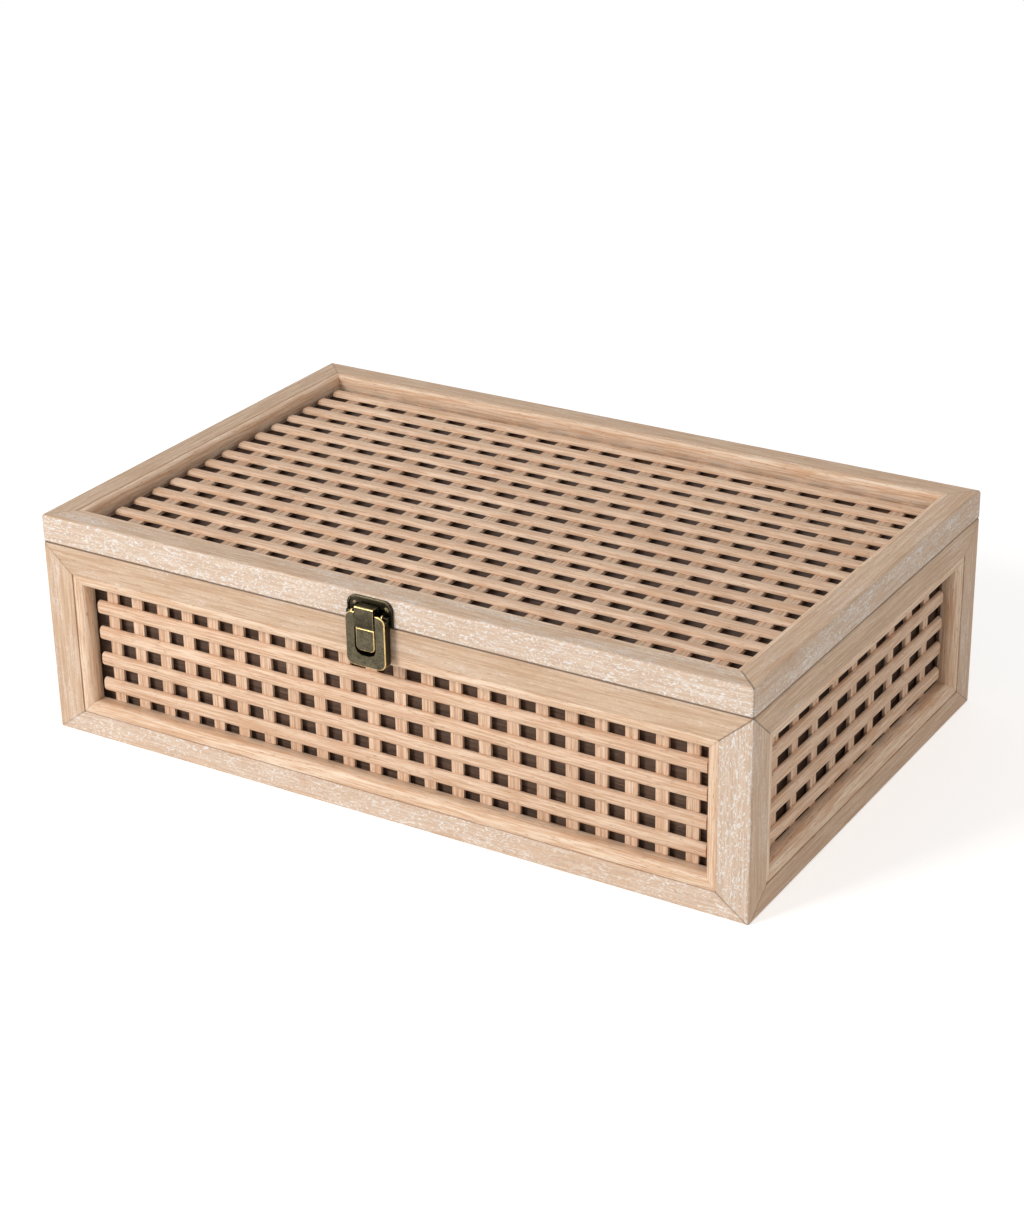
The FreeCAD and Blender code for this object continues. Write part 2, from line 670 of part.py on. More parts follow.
def catch_plate():
    """Plate on the lid with a raised rim and an upturned lip for the hook."""
    body = new_body("latch_catch_plate", LATCH_SPOT)
    plate = rectangle("-" + HALF_CATCH, "plate_seam_gap", HALF_CATCH, CATCH_HIGH)
    pad(body, polygons(body, "XZ_Plane", "plate", [plate]), "sheet_thickness + catch_rim_height")
    round_edges(body, "catch_round", [{"x": sign + HALF_CATCH, "z": CATCH_HIGH} for sign in ("-", "")])
    side = "(%s - sheet_thickness)" % HALF_CATCH
    top = "(%s - sheet_thickness)" % CATCH_HIGH
    bend = "(%s - catch_round)" % HALF_CATCH
    fall = cut_corner("catch_round", "sheet_thickness")
    low = "plate_seam_gap - cut_over"
    shoulder = "%s - catch_round" % CATCH_HIGH
    right = [(side, low), (side, shoulder), ("%s - %s" % (side, fall), "%s - %s" % (top, fall)), (bend, top)]
    hollow = right + [("-(%s)" % x, z) for x, z in reversed(right)]
    pocket(body, polygons(body, "XZ_Plane", "hollow", [hollow], "sheet_thickness + catch_rim_height"),
           "catch_rim_height")
    lip = [("-sheet_thickness / 2", "lip_low"), ("-" + LIP_OUT, "lip_low"), ("-" + LIP_OUT, "lip_high"),
           ("-" + LIP_IN, "lip_high"), ("-" + LIP_IN, "lip_low + sheet_thickness"),
           ("-sheet_thickness / 2", "lip_low + sheet_thickness")]
    half_lip = "(%s - sheet_thickness - lip_side_gap)" % HALF_STRAP
    pad(body, polygons(body, "YZ_Plane", "lip", [lip], "-" + half_lip), "2 * " + half_lip)
    pocket(body, circles(body, "XZ_Plane", "nail_holes", CATCH_NAILS, "nail_radius + nail_clearance"))


def base_plate():
    """Plate on the box with a hollow raised block and two ears for the lever."""
    body = new_body("latch_base_plate", LATCH_SPOT)
    plate = rectangle("-" + HALF_BASE, "lever_low + base_inset", HALF_BASE, "-plate_seam_gap")
    pad(body, polygons(body, "XZ_Plane", "plate", [plate]), "sheet_thickness")
    block = rectangle("-" + HALF_STRAP, BLOCK_LOW, HALF_STRAP, "block_high")
    pad(body, polygons(body, "XZ_Plane", "block", [block]), BLOCK_FACE)
    round_edges(body, "block_round", [{"x": sign + HALF_STRAP, "z": BLOCK_LOW} for sign in ("-", "")])
    round_edges(body, "sheet_thickness", [{"y": "-" + BLOCK_FACE}])
    inner = "(%s - sheet_thickness)" % HALF_STRAP
    low = "(%s + sheet_thickness)" % BLOCK_LOW
    high = "block_high - sheet_thickness"
    fall = cut_corner("block_round", "sheet_thickness")
    right = [("%s - block_round" % HALF_STRAP, low), ("%s - %s" % (inner, fall), "%s + %s" % (low, fall)),
             (inner, BLOCK_LOW + " + block_round"), (inner, high)]
    hollow = right + [("-(%s)" % x, z) for x, z in reversed(right)]
    pocket(body, polygons(body, "XZ_Plane", "hollow", [hollow]), BLOCK_FACE + " - sheet_thickness", True)
    reach = "(lever_pivot_out + ear_radius / 2)"
    near = "(sheet_thickness + ear_gap)"
    ear = [("-sheet_thickness / 2", "ear_low"), ("-" + reach, "ear_low + ear_radius"),
           ("-" + reach, "lever_pivot_level"), ("-" + near, "lever_pivot_level"), ("-" + near, "-plate_seam_gap"),
           ("-sheet_thickness / 2", "-plate_seam_gap")]
    pivot = [("-lever_pivot_out", "lever_pivot_level")]
    for sign in ("-", ""):
        start = "%s%s - sheet_thickness / 2" % (sign, EAR_PLACE)
        pad(body, polygons(body, "YZ_Plane", "ear", [ear], start), "sheet_thickness")
        pad(body, circles(body, "YZ_Plane", "ear_end", pivot, "ear_radius", start), "sheet_thickness")
    pocket(body, circles(body, "YZ_Plane", "pivot_hole", pivot, "rivet_radius"))
    pocket(body, circles(body, "XZ_Plane", "nail_holes", BASE_NAILS, "nail_radius + nail_clearance"))


def lever():
    """A dished plate with a tall window, hung on the ears and carrying the hook's pin."""
    body = new_body("latch_lever_plate", LATCH_SPOT)
    outline = rectangle("-" + HALF_LEVER, "lever_low", HALF_LEVER, LEVER_HIGH)
    pad(body, polygons(body, "XZ_Plane", "outline", [outline], LEVER_BACK), "lever_face - " + LEVER_BACK)
    round_edges(body, "lever_corner", [{"x": sign + HALF_LEVER, "z": level}
                                       for sign in ("-", "") for level in ("lever_low", LEVER_HIGH)])
    round_edges(body, "sheet_thickness", [{"y": "-lever_face"}])
    side = "(%s - sheet_thickness)" % HALF_LEVER
    low = "(lever_low + sheet_thickness)"
    fall = cut_corner("lever_corner", "sheet_thickness")
    top = LEVER_HIGH + " + cut_over"
    right = [("%s - lever_corner" % HALF_LEVER, low), ("%s - %s" % (side, fall), "%s + %s" % (low, fall)),
             (side, "lever_low + lever_corner"), (side, top)]
    hollow = right + [("-(%s)" % x, z) for x, z in reversed(right)]
    pocket(body, polygons(body, "XZ_Plane", "hollow", [hollow], LEVER_BACK),
           "lever_face - sheet_thickness - " + LEVER_BACK, True)
    fall = cut_corner("window_round", "0")
    right = [("%s - window_round" % HALF_WINDOW, WINDOW_LOW),
             ("%s - %s" % (HALF_WINDOW, fall), "%s + %s" % (WINDOW_LOW, fall)),
             (HALF_WINDOW, WINDOW_LOW + " + window_round"), (HALF_WINDOW, top)]
    window = right + [("-(%s)" % x, z) for x, z in reversed(right)]
    pocket(body, polygons(body, "XZ_Plane", "window", [window]))
    front = "-(lever_face - sheet_thickness / 2)"
    back = "-(%s - 2 * hook_pin_radius)" % HOOK_PIVOT_OUT
    flange = rectangle(front, "hook_pivot_level - 2 * hook_pin_radius", back,
                       "hook_pivot_level + 2 * hook_pin_radius")
    for start in (HALF_WINDOW, "-(%s + sheet_thickness)" % HALF_WINDOW):
        pad(body, polygons(body, "YZ_Plane", "inner_flange", [flange], start), "sheet_thickness")
    pocket(body, circles(body, "YZ_Plane", "hook_pin_hole", HOOK_PIVOT, "hook_pin_radius"))
    pivot = [("-lever_pivot_out", "lever_pivot_level")]
    pocket(body, circles(body, "YZ_Plane", "rivet_hole", pivot, "rivet_radius + pin_clearance"))


def hook():
    """The strap that comes over the lip: front, top bend, turned-down tip and two cheeks."""
    body = new_body("latch_hook_strap", LATCH_SPOT)
    back = "(%s - sheet_thickness)" % HOOK_FACE
    under = "%s - sheet_thickness" % HOOK_HIGH
    tip_low = "lip_high - hook_engagement"
    tip_out = "(%s + sheet_thickness)" % HOOK_TIP_IN
    strap = [("-" + HOOK_FACE, HOOK_LOW), ("-" + HOOK_FACE, HOOK_HIGH), ("-" + HOOK_TIP_IN, HOOK_HIGH),
             ("-" + HOOK_TIP_IN, tip_low), ("-" + tip_out, tip_low), ("-" + tip_out, under), ("-" + back, under),
             ("-" + back, HOOK_LOW)]
    pad(body, polygons(body, "YZ_Plane", "strap", [strap], "-" + HALF_STRAP), "strap_width")
    round_edges(body, "sheet_thickness", [{"y": "-" + HOOK_FACE, "z": HOOK_HIGH},
                                          {"y": "-" + HOOK_TIP_IN, "z": HOOK_HIGH}])
    cheek = rectangle("-" + back, HOOK_LOW, "-(%s - hook_cheek_depth)" % back, under)
    for start in ("-" + HALF_STRAP, HALF_STRAP + " - sheet_thickness"):
        pad(body, polygons(body, "YZ_Plane", "cheek", [cheek], start), "sheet_thickness")
        pad(body, circles(body, "YZ_Plane", "eye", HOOK_PIVOT, "hook_eye_radius", start), "sheet_thickness")
    pocket(body, circles(body, "YZ_Plane", "pin_hole", HOOK_PIVOT, "hook_pin_radius + pin_clearance"))


def hook_pin():
    """The pin that carries the hook, held in the lever's inner flanges."""
    body = new_body("latch_hook_pin", LATCH_SPOT)
    reach = "(%s + sheet_thickness)" % HALF_WINDOW
    pad(body, circles(body, "YZ_Plane", "pin", HOOK_PIVOT, "hook_pin_radius", "-" + reach), "2 * " + reach)


def rivets():
    """Two rivets from the ears through the lever's sides, each with a flat head outside."""
    pivot = FreeCAD.Vector(0, -value("lever_pivot_out"), value("lever_pivot_level"))
    inner = value(EAR_PLACE + " - sheet_thickness / 2")
    outer = value(HALF_LEVER + " + pin_clearance")
    solids = []
    for sign in (-1, 1):
        along = FreeCAD.Vector(sign, 0, 0)
        shank = Part.makeCylinder(value("rivet_radius"), outer - inner, pivot + along * inner, along)
        head = Part.makeCylinder(value("rivet_head_radius"), value("rivet_head_height"), pivot + along * outer, along)
        solids.append(shank.fuse(head))
    group = doc.addObject("Part::Feature", "latch_rivets")
    group.Label = "latch_rivets"
    group.Shape = Part.makeCompound(solids)
    place(group, **LATCH_SPOT)
    nodes.append(group)


HOOK_PIVOT = [("-" + HOOK_PIVOT_OUT, "hook_pivot_level")]
CATCH_NAILS = [("%s(%s - nail_edge_gap - nail_head_radius)" % (sign, HALF_CATCH),
                "%s - nail_top_gap - nail_head_radius" % CATCH_HIGH) for sign in ("-", "")]
BASE_NAILS = [("%s(%s + nail_side_gap + nail_head_radius)" % (sign, HALF_STRAP),
               "ear_low - nail_side_gap - nail_head_radius") for sign in ("-", "")]


def make_latch():
    catch_plate()
    base_plate()
    lever()
    hook()
    hook_pin()
    rivets()
    for plate, centres in (("catch", CATCH_NAILS), ("base", BASE_NAILS)):
        spots = [(value(x), -value("sheet_thickness"), value(z)) for x, z in centres]
        fasteners("latch_%s_nails" % plate, spots, "nail", value("nail_length"), LATCH_SPOT)


def write_parts():
    """Refuse a failed feature or a bad solid, then write one file for each node."""
    doc.recompute()
    for item in doc.Objects:
        if "Invalid" in item.State or "Error" in item.State:
            raise RuntimeError("%s did not build" % item.Label)
    for node in nodes:
        if node.Shape.isNull() or not node.Shape.isValid():
            raise RuntimeError("%s has no valid shape" % node.Label)
    os.makedirs("parts", exist_ok=True)
    for node in nodes:
        node.Shape.exportStep("parts/%s.step" % node.Label)
    print("%d nodes, %d solids" % (len(nodes), sum(len(node.Shape.Solids) for node in nodes)))


make_walls()
make_bottom()
make_lid()
make_hinges()
make_latch()
write_parts()
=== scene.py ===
"""Looks for a flat wooden keepsake box with a latticed lid and latticed walls.

The box is limed wood: mitred frames, a slim bead inside each frame, and rounded slats laid over
flat uprights. The toggle latch and the hinges are antique brass. Metres, +Z up, front towards -Y.
"""

import json
import math
import random
from functools import partial

import bmesh
import bpy
from bpy.props import BoolProperty, FloatProperty, FloatVectorProperty, IntProperty, PointerProperty
from mathutils import Matrix, Vector


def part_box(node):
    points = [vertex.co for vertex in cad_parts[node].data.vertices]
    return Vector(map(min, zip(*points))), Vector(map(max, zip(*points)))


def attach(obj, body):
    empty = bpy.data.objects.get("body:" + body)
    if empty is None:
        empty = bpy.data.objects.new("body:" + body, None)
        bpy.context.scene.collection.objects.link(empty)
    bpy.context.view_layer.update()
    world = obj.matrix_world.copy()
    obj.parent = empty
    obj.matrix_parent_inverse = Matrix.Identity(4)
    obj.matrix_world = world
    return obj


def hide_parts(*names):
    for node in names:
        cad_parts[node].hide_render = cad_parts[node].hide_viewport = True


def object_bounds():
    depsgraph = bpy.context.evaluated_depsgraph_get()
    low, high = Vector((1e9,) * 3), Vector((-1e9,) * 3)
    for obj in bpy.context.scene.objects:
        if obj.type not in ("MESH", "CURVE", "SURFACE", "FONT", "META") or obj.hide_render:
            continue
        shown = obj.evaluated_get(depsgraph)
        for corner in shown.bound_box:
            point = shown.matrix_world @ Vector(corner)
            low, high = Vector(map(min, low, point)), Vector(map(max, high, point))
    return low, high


bl_info = {
    "name": "Lattice keepsake box",
    "version": (1, 0, 0),
    "blender": (4, 5, 0),
    "location": "3D View > Sidebar > Keepsake Box",
    "description": "Builds the limed wood, the lattice and the antique brass fittings of a keepsake box",
    "category": "Object",
}

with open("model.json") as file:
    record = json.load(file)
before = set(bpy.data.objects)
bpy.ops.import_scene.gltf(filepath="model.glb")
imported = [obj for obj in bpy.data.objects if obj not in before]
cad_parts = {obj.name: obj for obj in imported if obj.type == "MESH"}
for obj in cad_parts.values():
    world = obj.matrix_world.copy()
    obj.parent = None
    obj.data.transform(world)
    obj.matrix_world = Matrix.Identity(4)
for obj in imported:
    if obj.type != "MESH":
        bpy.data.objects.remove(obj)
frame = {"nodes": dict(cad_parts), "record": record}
CAD_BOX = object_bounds()

WALLS = {"front": 0, "right": 90, "back": 180, "left": 270}  # degrees round from the front
RUN = {"front": 0, "right": 1, "back": 0, "left": 1}  # the axis along each wall
MEMBERS = ("top_rail", "bottom_rail", "left_stile", "right_stile")
LID_RIMS = ["lid_%s_rim" % side for side in WALLS]
TOP_RAILS = ["%s_top_rail" % side for side in WALLS]

# Lengths in metres and angles in degrees.
SAME_POINT = 1e-7
SAME_PLANE = 0.6
BLUNT_WOOD, BLUNT_METAL = 50, 32  # blunter edges are not eased
CREASE, METAL_CREASE = 40, 50  # sharper edges stay sharp in the shading
FINE_ROUND = 0.0002
BEAD_GAP = 0.00006  # at each side of a bead's mitre
JOINT_MOUTH, JOINT_DEPTH = 0.0003, 0.0015  # inside a joint the dirt and painted shade fade between these depths
EASE_REACH = 1.3  # a joint's dark line starts this many eased edges from its middle
PLANK_SHIFT = 5  # how far a member's plank may lie from the box in the grain
PLANK_TONES = (0.97, 1.03)
ROUND_CUTS = (1.0, 0.62, 0.29, 0.08)  # where a soft arris is cut, in shares of its radius

# A face looks along a direction if that part of its normal is over ALONG, and away from it if under ACROSS.
ALONG, ACROSS = 0.7, 0.5

# How dark joints are, with dirt and painted shade: at the front right corner of the lid and the walls, at
# other mitres, and at the seam, where it is painted shade in the gap under the lid.
LID_CORNER, WALL_CORNER, MITRE, SEAM = 0.75, 0.55, 0.28, 0.85
LID_MITRE_SIDE = 0.3  # the share of that on the upright faces of the lid


def paint(red, green, blue):
    """A colour as it looks on screen, 0 to 255 each, as the linear numbers that a shader takes."""
    shares = (part / 255 for part in (red, green, blue))
    return tuple(share / 12.92 if share <= 0.04045 else ((share + 0.055) / 1.055) ** 2.4 for share in shares)


def colour(name, description, *screen):
    return FloatVectorProperty(name=name, description=description, subtype="COLOR", size=3, min=0, max=1,
                               default=paint(*screen))


def length(name, description, default):
    return FloatProperty(name=name, description=description, default=default, min=0, unit="LENGTH",
                         precision=5)


def share(name, description, default):
    return FloatProperty(name=name, description=description, default=default, min=0, max=1,
                         subtype="FACTOR")


def number(name, description, default):
    return IntProperty(name=name, description=description, default=default, min=2)


def power(name, description, default):
    return FloatProperty(name=name, description=description, default=default, min=0, unit="POWER")


class KeepsakeWood(bpy.types.PropertyGroup):
    """Colours and finish of the wood."""

    frame_light: colour("Frame, light grain", "Light grain of the frame members", 236, 208, 180)
    frame_dark: colour("Frame, dark grain", "Dark grain of the frame members", 206, 170, 138)
    bead_light: colour("Bead, light grain", "Light grain of the beads", 252, 228, 202)
    bead_dark: colour("Bead, dark grain", "Dark grain of the beads", 224, 182, 146)
    slat_light: colour("Lattice, light grain", "Light grain of the slats and uprights", 246, 216, 188)
    slat_dark: colour("Lattice, dark grain", "Dark grain of the slats and uprights", 216, 174, 140)
    board_light: colour("Board, light grain", "Light grain of the bottom board and the linings", 112, 86, 68)
    board_dark: colour("Board, dark grain", "Dark grain of the bottom board and the linings", 78, 58, 46)
    pore: colour("Pores", "Fine dark pores in the wood", 150, 112, 78)
    liming: colour("Liming", "White liming wax left in the grain", 246, 240, 234)
    # Dirt and painted shade: this colour darkens the joints, the seam under the lid, the groove beside each
    # bead and the grooves between reeds.
    crevice: colour("Joint shadow", "Dirt and shadow in the joints between members", 70, 46, 30)
    liming_cover: share("Liming cover", "How much of the limed grain is white", 0.9)
    joint_line: length("Joint line", "Width of the dark line on each side of a joint", 0.0003)
    relief: share("Grain relief", "Strength of the grain's relief", 0.35)
    ease: length("Eased edge", "Width by which a sharp edge of a frame member is eased", 0.0002)
    arris: length("Arris", "Radius of the soft outer corners of the box and the lid", 0.0015)


class KeepsakeLattice(bpy.types.PropertyGroup):
    """Sizes of the strips that make the lattices."""

    slat_width: length("Slat width", "Width of a wall slat", 0.0071)
    slat_count: number("Wall slats", "Slats in each wall", 4)
    slat_round: length("Slat rounding", "Rounding of a slat's front edges", 0.0019)
    upright_width: length("Upright width", "Width of an upright behind the slats", 0.0062)
    reed_depth: length("Reed depth", "Depth of the grooves between an upright's two reeds", 0.00022)
    long_uprights: number("Front uprights", "Uprights in the front and the back", 22)
    side_uprights: number("Side uprights", "Uprights in each side", 9)
    lid_slat_width: length("Lid slat width", "Width of a lid slat", 0.0068)
    lid_slats: number("Lid slats", "Slats along the lid", 15)
    cross_width: length("Cross strip width", "Width of a strip under the lid slats", 0.007)
    cross_strips: number("Cross strips", "Strips across the lid, under its slats", 18)
    # Painted shade: the cross strips are coloured darker because they lie under the lid slats.
    cross_tone: share("Cross strip tone", "How light the cross strips are beside the lid slats", 0.82)
    wander: length("Wander", "How far a strip may lie from its even place", 0.00015)
    end_ease: length("End easing", "Easing at the ends of each strip", 0.0004)
    bead_width: length("Bead width", "Width of the bead inside a wall frame", 0.006)
    bead_round: length("Bead rounding", "Rounding of the bead towards the lattice", 0.003)
    bead_outer_round: length("Bead outer rounding", "Rounding of the bead beside the frame", 0.0006)
    lid_bead_width: length("Lid bead width", "Width of the bead inside the lid frame", 0.003)
    lid_bead_round: length("Lid bead rounding", "Rounding of the lid bead towards the lattice", 0.0016)


class KeepsakeBrass(bpy.types.PropertyGroup):
    """Colours and finish of the metal."""

    patina: colour("Patina", "Aged face of the brass", 112, 104, 84)
    tarnish: colour("Tarnish", "Dark speckle in the patina", 52, 47, 36)
    # Dirt and patina on the plates, and painted shade on the lever's flanks and in the gap under the hook.
    grime: colour("Grime", "Dirt in the hollows of the fittings", 30, 27, 22)
    # Worn bright brass on the edges, and painted highlight on the edges and the front rounds.
    rubbed_and_highlit: colour("Rubbed edge", "Bright brass where edges are worn", 240, 206, 138)
    roughness: share("Roughness", "Roughness of the aged brass", 0.36)
    ease: length("Eased edge", "Width by which a sharp metal edge is eased", 0.00028)
    broad_ease: length("Broad eased edge", "Width by which the lever's, hook's and block's edges are eased",
                       0.0005)
    fine_ease: length("Fine eased edge", "Width by which a small metal edge is eased", 0.0001)
    screw_spacing: length("Screw spacing", "Distance between the two screws of a hinge leaf", 0.016)
    slot_width: length("Screw slot", "Width of the slot in a screw's head", 0.0005)


class KeepsakeStage(bpy.types.PropertyGroup):
    """Camera, floor and light."""

    lens: FloatProperty(name="Lens", description="Focal length of the camera, in millimetres", default=78.07,
                        min=1, subtype="DISTANCE_CAMERA")
    floor: colour("Floor", "Colour of the pale floor", 238, 236, 233)
    key_light: power("Key light", "Power of the large soft lamp at the front left", 34)
    fill_light: power("Fill light", "Power of the soft lamp at the right", 5)
    room_light: FloatProperty(name="Room light", description="Strength of the even light of the room",
                              default=0.42, min=0)
    white_backdrop: BoolProperty(name="White backdrop", description="Show the room behind the floor as white",
                                 default=True)


GROUPS = {"keepsake_wood": KeepsakeWood, "keepsake_lattice": KeepsakeLattice, "keepsake_brass": KeepsakeBrass,
          "keepsake_stage": KeepsakeStage}


# Node trees, for materials and for geometry alike.
def feed(tree, socket, given):
    """Link an output to a socket, or set the socket's own value."""
    if isinstance(given, bpy.types.NodeSocket):
        tree.links.new(given, socket)
    else:
        socket.default_value = given


def node(tree, kind, inputs=None, **settings):
    """A node with its settings and inputs."""
    made = tree.nodes.new(kind)
    for key, setting in settings.items():
        setattr(made, key, setting)
    for key, given in (inputs or {}).items():
        feed(tree, made.inputs[key], given)
    return made


def put(tree, kind, inputs=None, **settings):
    """The first output of a new node."""
    return node(tree, kind, inputs, **settings).outputs[0]


def shaping(tree, kind, inputs=None, **settings):
    return put(tree, "GeometryNode" + kind, inputs, **settings)


def maths(tree, operation, *values):
    return put(tree, "ShaderNodeMath", dict(enumerate(values)), operation=operation)


def product(tree, first, second):
    return maths(tree, "MULTIPLY", first, second)


def combined(tree, **parts):
    """A vector of the parts that are given as X, Y or Z."""
    return put(tree, "ShaderNodeCombineXYZ", parts)


def random_value(tree, seed, low, high, kind="FLOAT"):
    made = node(tree, "FunctionNodeRandomValue", {"Seed": seed}, data_type=kind)
    for name, given in (("Min", low), ("Max", high)):
        identifier = name + ("_001" if kind == "FLOAT" else "")
        feed(tree, next(item for item in made.inputs if item.identifier == identifier), given)
    return next(item for item in made.outputs if item.enabled)


def attribute(tree, name, output="Fac"):
    return node(tree, "ShaderNodeAttribute", attribute_name=name).outputs[output]


def noise(tree, grain, along, across, detail=3, roughness=0.55, distortion=0.0):
    """Noise with features of the given length along the grain and width across it, in metres."""
    spot = put(tree, "ShaderNodeMapping", {"Vector": grain, "Scale": (1 / along, 1 / across, 1 / across)})
    return node(tree, "ShaderNodeTexNoise", {"Vector": spot, "Scale": 1, "Detail": detail,
                                             "Roughness": roughness, "Distortion": distortion}).outputs["Fac"]


def step(tree, given, low, high, bottom=0.0, top=1.0):
    """The given value, brought smoothly from low..high to bottom..top."""
    return put(tree, "ShaderNodeMapRange", {"Value": given, "From Min": low, "From Max": high,
                                            "To Min": bottom, "To Max": top}, interpolation_type="SMOOTHSTEP")


def mix(tree, factor, first, second):
    """Two colours mixed; a colour may be given as a property of three numbers."""
    first, second = (item if isinstance(item, bpy.types.NodeSocket) else tuple(item) + (1,)
                     for item in (first, second))
    return node(tree, "ShaderNodeMix", {0: factor, 6: first, 7: second}, data_type="RGBA").outputs[2]


def new_material(name, metallic, roughness):
    """A material with one surface shader; its tree and that shader come back with it."""
    material = bpy.data.materials.new(name)
    material.use_nodes = True
    tree = material.node_tree
    surface = tree.nodes["Principled BSDF"]
    surface.inputs["Metallic"].default_value = metallic
    surface.inputs["Roughness"].default_value = roughness
    return material, tree, surface


def relief(tree, surface, height, strength, distance):
    bump = node(tree, "ShaderNodeBump", {"Height": height, "Strength": strength, "Distance": distance})
    tree.links.new(bump.outputs[0], surface.inputs["Normal"])


def wood_material(name, kind, streak):
    """Wood with grain along each member. streak is the width of its grain lines, in metres. The frames'
    wood also has white wax left in short wavy flecks, where the members' liming attribute asks for it."""
    wood = bpy.context.scene.keepsake_wood
    light, dark = getattr(wood, kind + "_light"), getattr(wood, kind + "_dark")
    material, tree, surface = new_material(name, 0, 0.62)
    grain = attribute(tree, "grain", "Vector")
    broad = step(tree, noise(tree, grain, 0.09, 0.009, 2), 0.3, 0.7)
    lines = noise(tree, grain, streak * 26, streak, 4, 0.62, 0.25)
    pores = step(tree, noise(tree, grain, streak * 5, streak * 0.55, 2), 0.6, 0.74)
    tint = mix(tree, step(tree, lines, 0.38, 0.62), dark, light)
    tint = mix(tree, product(tree, broad, 0.3), tint, dark)
    tint = mix(tree, product(tree, pores, 0.6), tint, wood.pore)
    height = maths(tree, "SUBTRACT", lines, product(tree, pores, 0.6))
    if kind == "frame":
        flecks = step(tree, noise(tree, grain, 0.0042, 0.0017, 2, 0.6, 2.2), 0.53, 0.6)
        threads = step(tree, noise(tree, grain, 0.03, 0.0013, 2, 0.6, 0.3), 0.55, 0.68)
        patches = noise(tree, grain, 0.035, 0.008, 3, 0.6)
        amount = step(tree, maths(tree, "ADD", patches, attribute(tree, "liming")), 0.8, 1.22)
        white = product(tree, maths(tree, "MAXIMUM", flecks, product(tree, threads, 0.6)), amount)
        white = product(tree, white, wood.liming_cover)
        veil = product(tree, amount, 0.2)
        mottle = product(tree, maths(tree, "SUBTRACT", 1, flecks), 0.34)
        tint = mix(tree, mottle, tint, dark)
        tint = mix(tree, maths(tree, "MAXIMUM", white, veil), tint, wood.liming)
        height = maths(tree, "ADD", height, product(tree, flecks, 0.5))
    shade = put(tree, "ShaderNodeHueSaturation", {"Value": attribute(tree, "tone"), "Color": tint})
    # Dirt and painted shade in the joints, the seam under the lid, the bead's groove and the reeds' grooves.
    tint = mix(tree, attribute(tree, "crevice"), shade, wood.crevice)
    tree.links.new(tint, surface.inputs["Base Color"])
    relief(tree, surface, height, wood.relief, 0.0004)
    return material


def brass_material():
    """Aged brass: a dull speckled face, with bright metal on the edges as wear and painted highlight."""
    brass = bpy.context.scene.keepsake_brass
    material, tree, surface = new_material("antique_brass", 1, brass.roughness)
    spot = node(tree, "ShaderNodeTexCoord").outputs["Object"]
    cloud = noise(tree, spot, 0.004, 0.004, 3, 0.6)
    speck = step(tree, noise(tree, spot, 0.0007, 0.0007, 3, 0.7), 0.46, 0.66)
    tint = mix(tree, step(tree, cloud, 0.35, 0.65, 0.0, 0.45), brass.patina, brass.tarnish)
    tint = mix(tree, product(tree, speck, 0.6), tint, brass.tarnish)
    # Dark dirt and patina on the plates, and painted shade on the lever's flanks and by the hook's foot.
    tint = mix(tree, product(tree, attribute(tree, "grime"), 0.7), tint, brass.grime)
    broken = step(tree, noise(tree, spot, 0.0016, 0.0016, 3, 0.6), 0.3, 0.62, 0.55, 1.0)
    # Bright brass on the edges as wear, and painted highlights on the edges and the front rounds.
    tint = mix(tree, product(tree, attribute(tree, "wear"), broken), tint, brass.rubbed_and_highlit)
    tree.links.new(tint, surface.inputs["Base Color"])
    relief(tree, surface, maths(tree, "SUBTRACT", cloud, product(tree, speck, 0.5)), 0.3, 0.00015)
    return material


# Each wooden slot's colours and the width of its grain lines.
WOODS = {"limed_frame_wood": ("frame", 0.0011), "bead_wood": ("bead", 0.0009), "slat_wood": ("slat", 0.0009),
         "board_wood": ("board", 0.0014)}
MADE = {}


def finish(name):
    """The material of one of the record's slots, made the first time that it is asked for."""
    if name not in MADE:
        for taken in [item for item in bpy.data.materials if item.name == name]:
            taken.name = name + "_plain"
        MADE[name] = wood_material(name, *WOODS[name]) if name in WOODS else brass_material()
    return MADE[name]


# Meshes.
def placed(name, data):
    """A new object in the scene."""
    made = bpy.data.objects.new(name, data)
    bpy.context.scene.collection.objects.link(made)
    return made


def mesh_of(bm, name):
    mesh = bpy.data.meshes.new(name)
    bm.to_mesh(mesh)
    bm.free()
    return mesh


def hand_over(piece, source, slot):
    """A finished piece goes to its body, stands for its CAD node and takes its slot's material."""
    bodies = frame["record"]["behaviour"]["bodies"]
    piece.data.materials.clear()
    piece.data.materials.append(finish(slot))
    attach(piece, next(name for name, members in bodies.items() if source in members))
    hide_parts(source)


def plain_mesh(piece, name):
    """The evaluated shape of a piece as a plain mesh on a new object, in place of the piece."""
    depsgraph = bpy.context.evaluated_depsgraph_get()
    mesh = bpy.data.meshes.new_from_object(piece.evaluated_get(depsgraph), preserve_all_data_layers=True,
                                           depsgraph=depsgraph)
    old = piece.data
    bpy.data.objects.remove(piece)
    if old.users == 0:
        bpy.data.meshes.remove(old)
    mesh.name = name
    return placed(name, mesh)


def evened(bm, name):
    """An object of a bmesh, shaded smooth, with its flat faces kept flat."""
    mesh = mesh_of(bm, name)
    mesh.shade_smooth()
    piece = placed(name + "_draft", mesh)
    piece.modifiers.new("even", "WEIGHTED_NORMAL").keep_sharp = True
    return plain_mesh(piece, name)


def crease(bm, angle):
    """Edges sharper than the angle stay sharp in the shading."""
    for edge in bm.edges:
        edge.smooth = edge.calc_face_angle(0) < math.radians(angle)


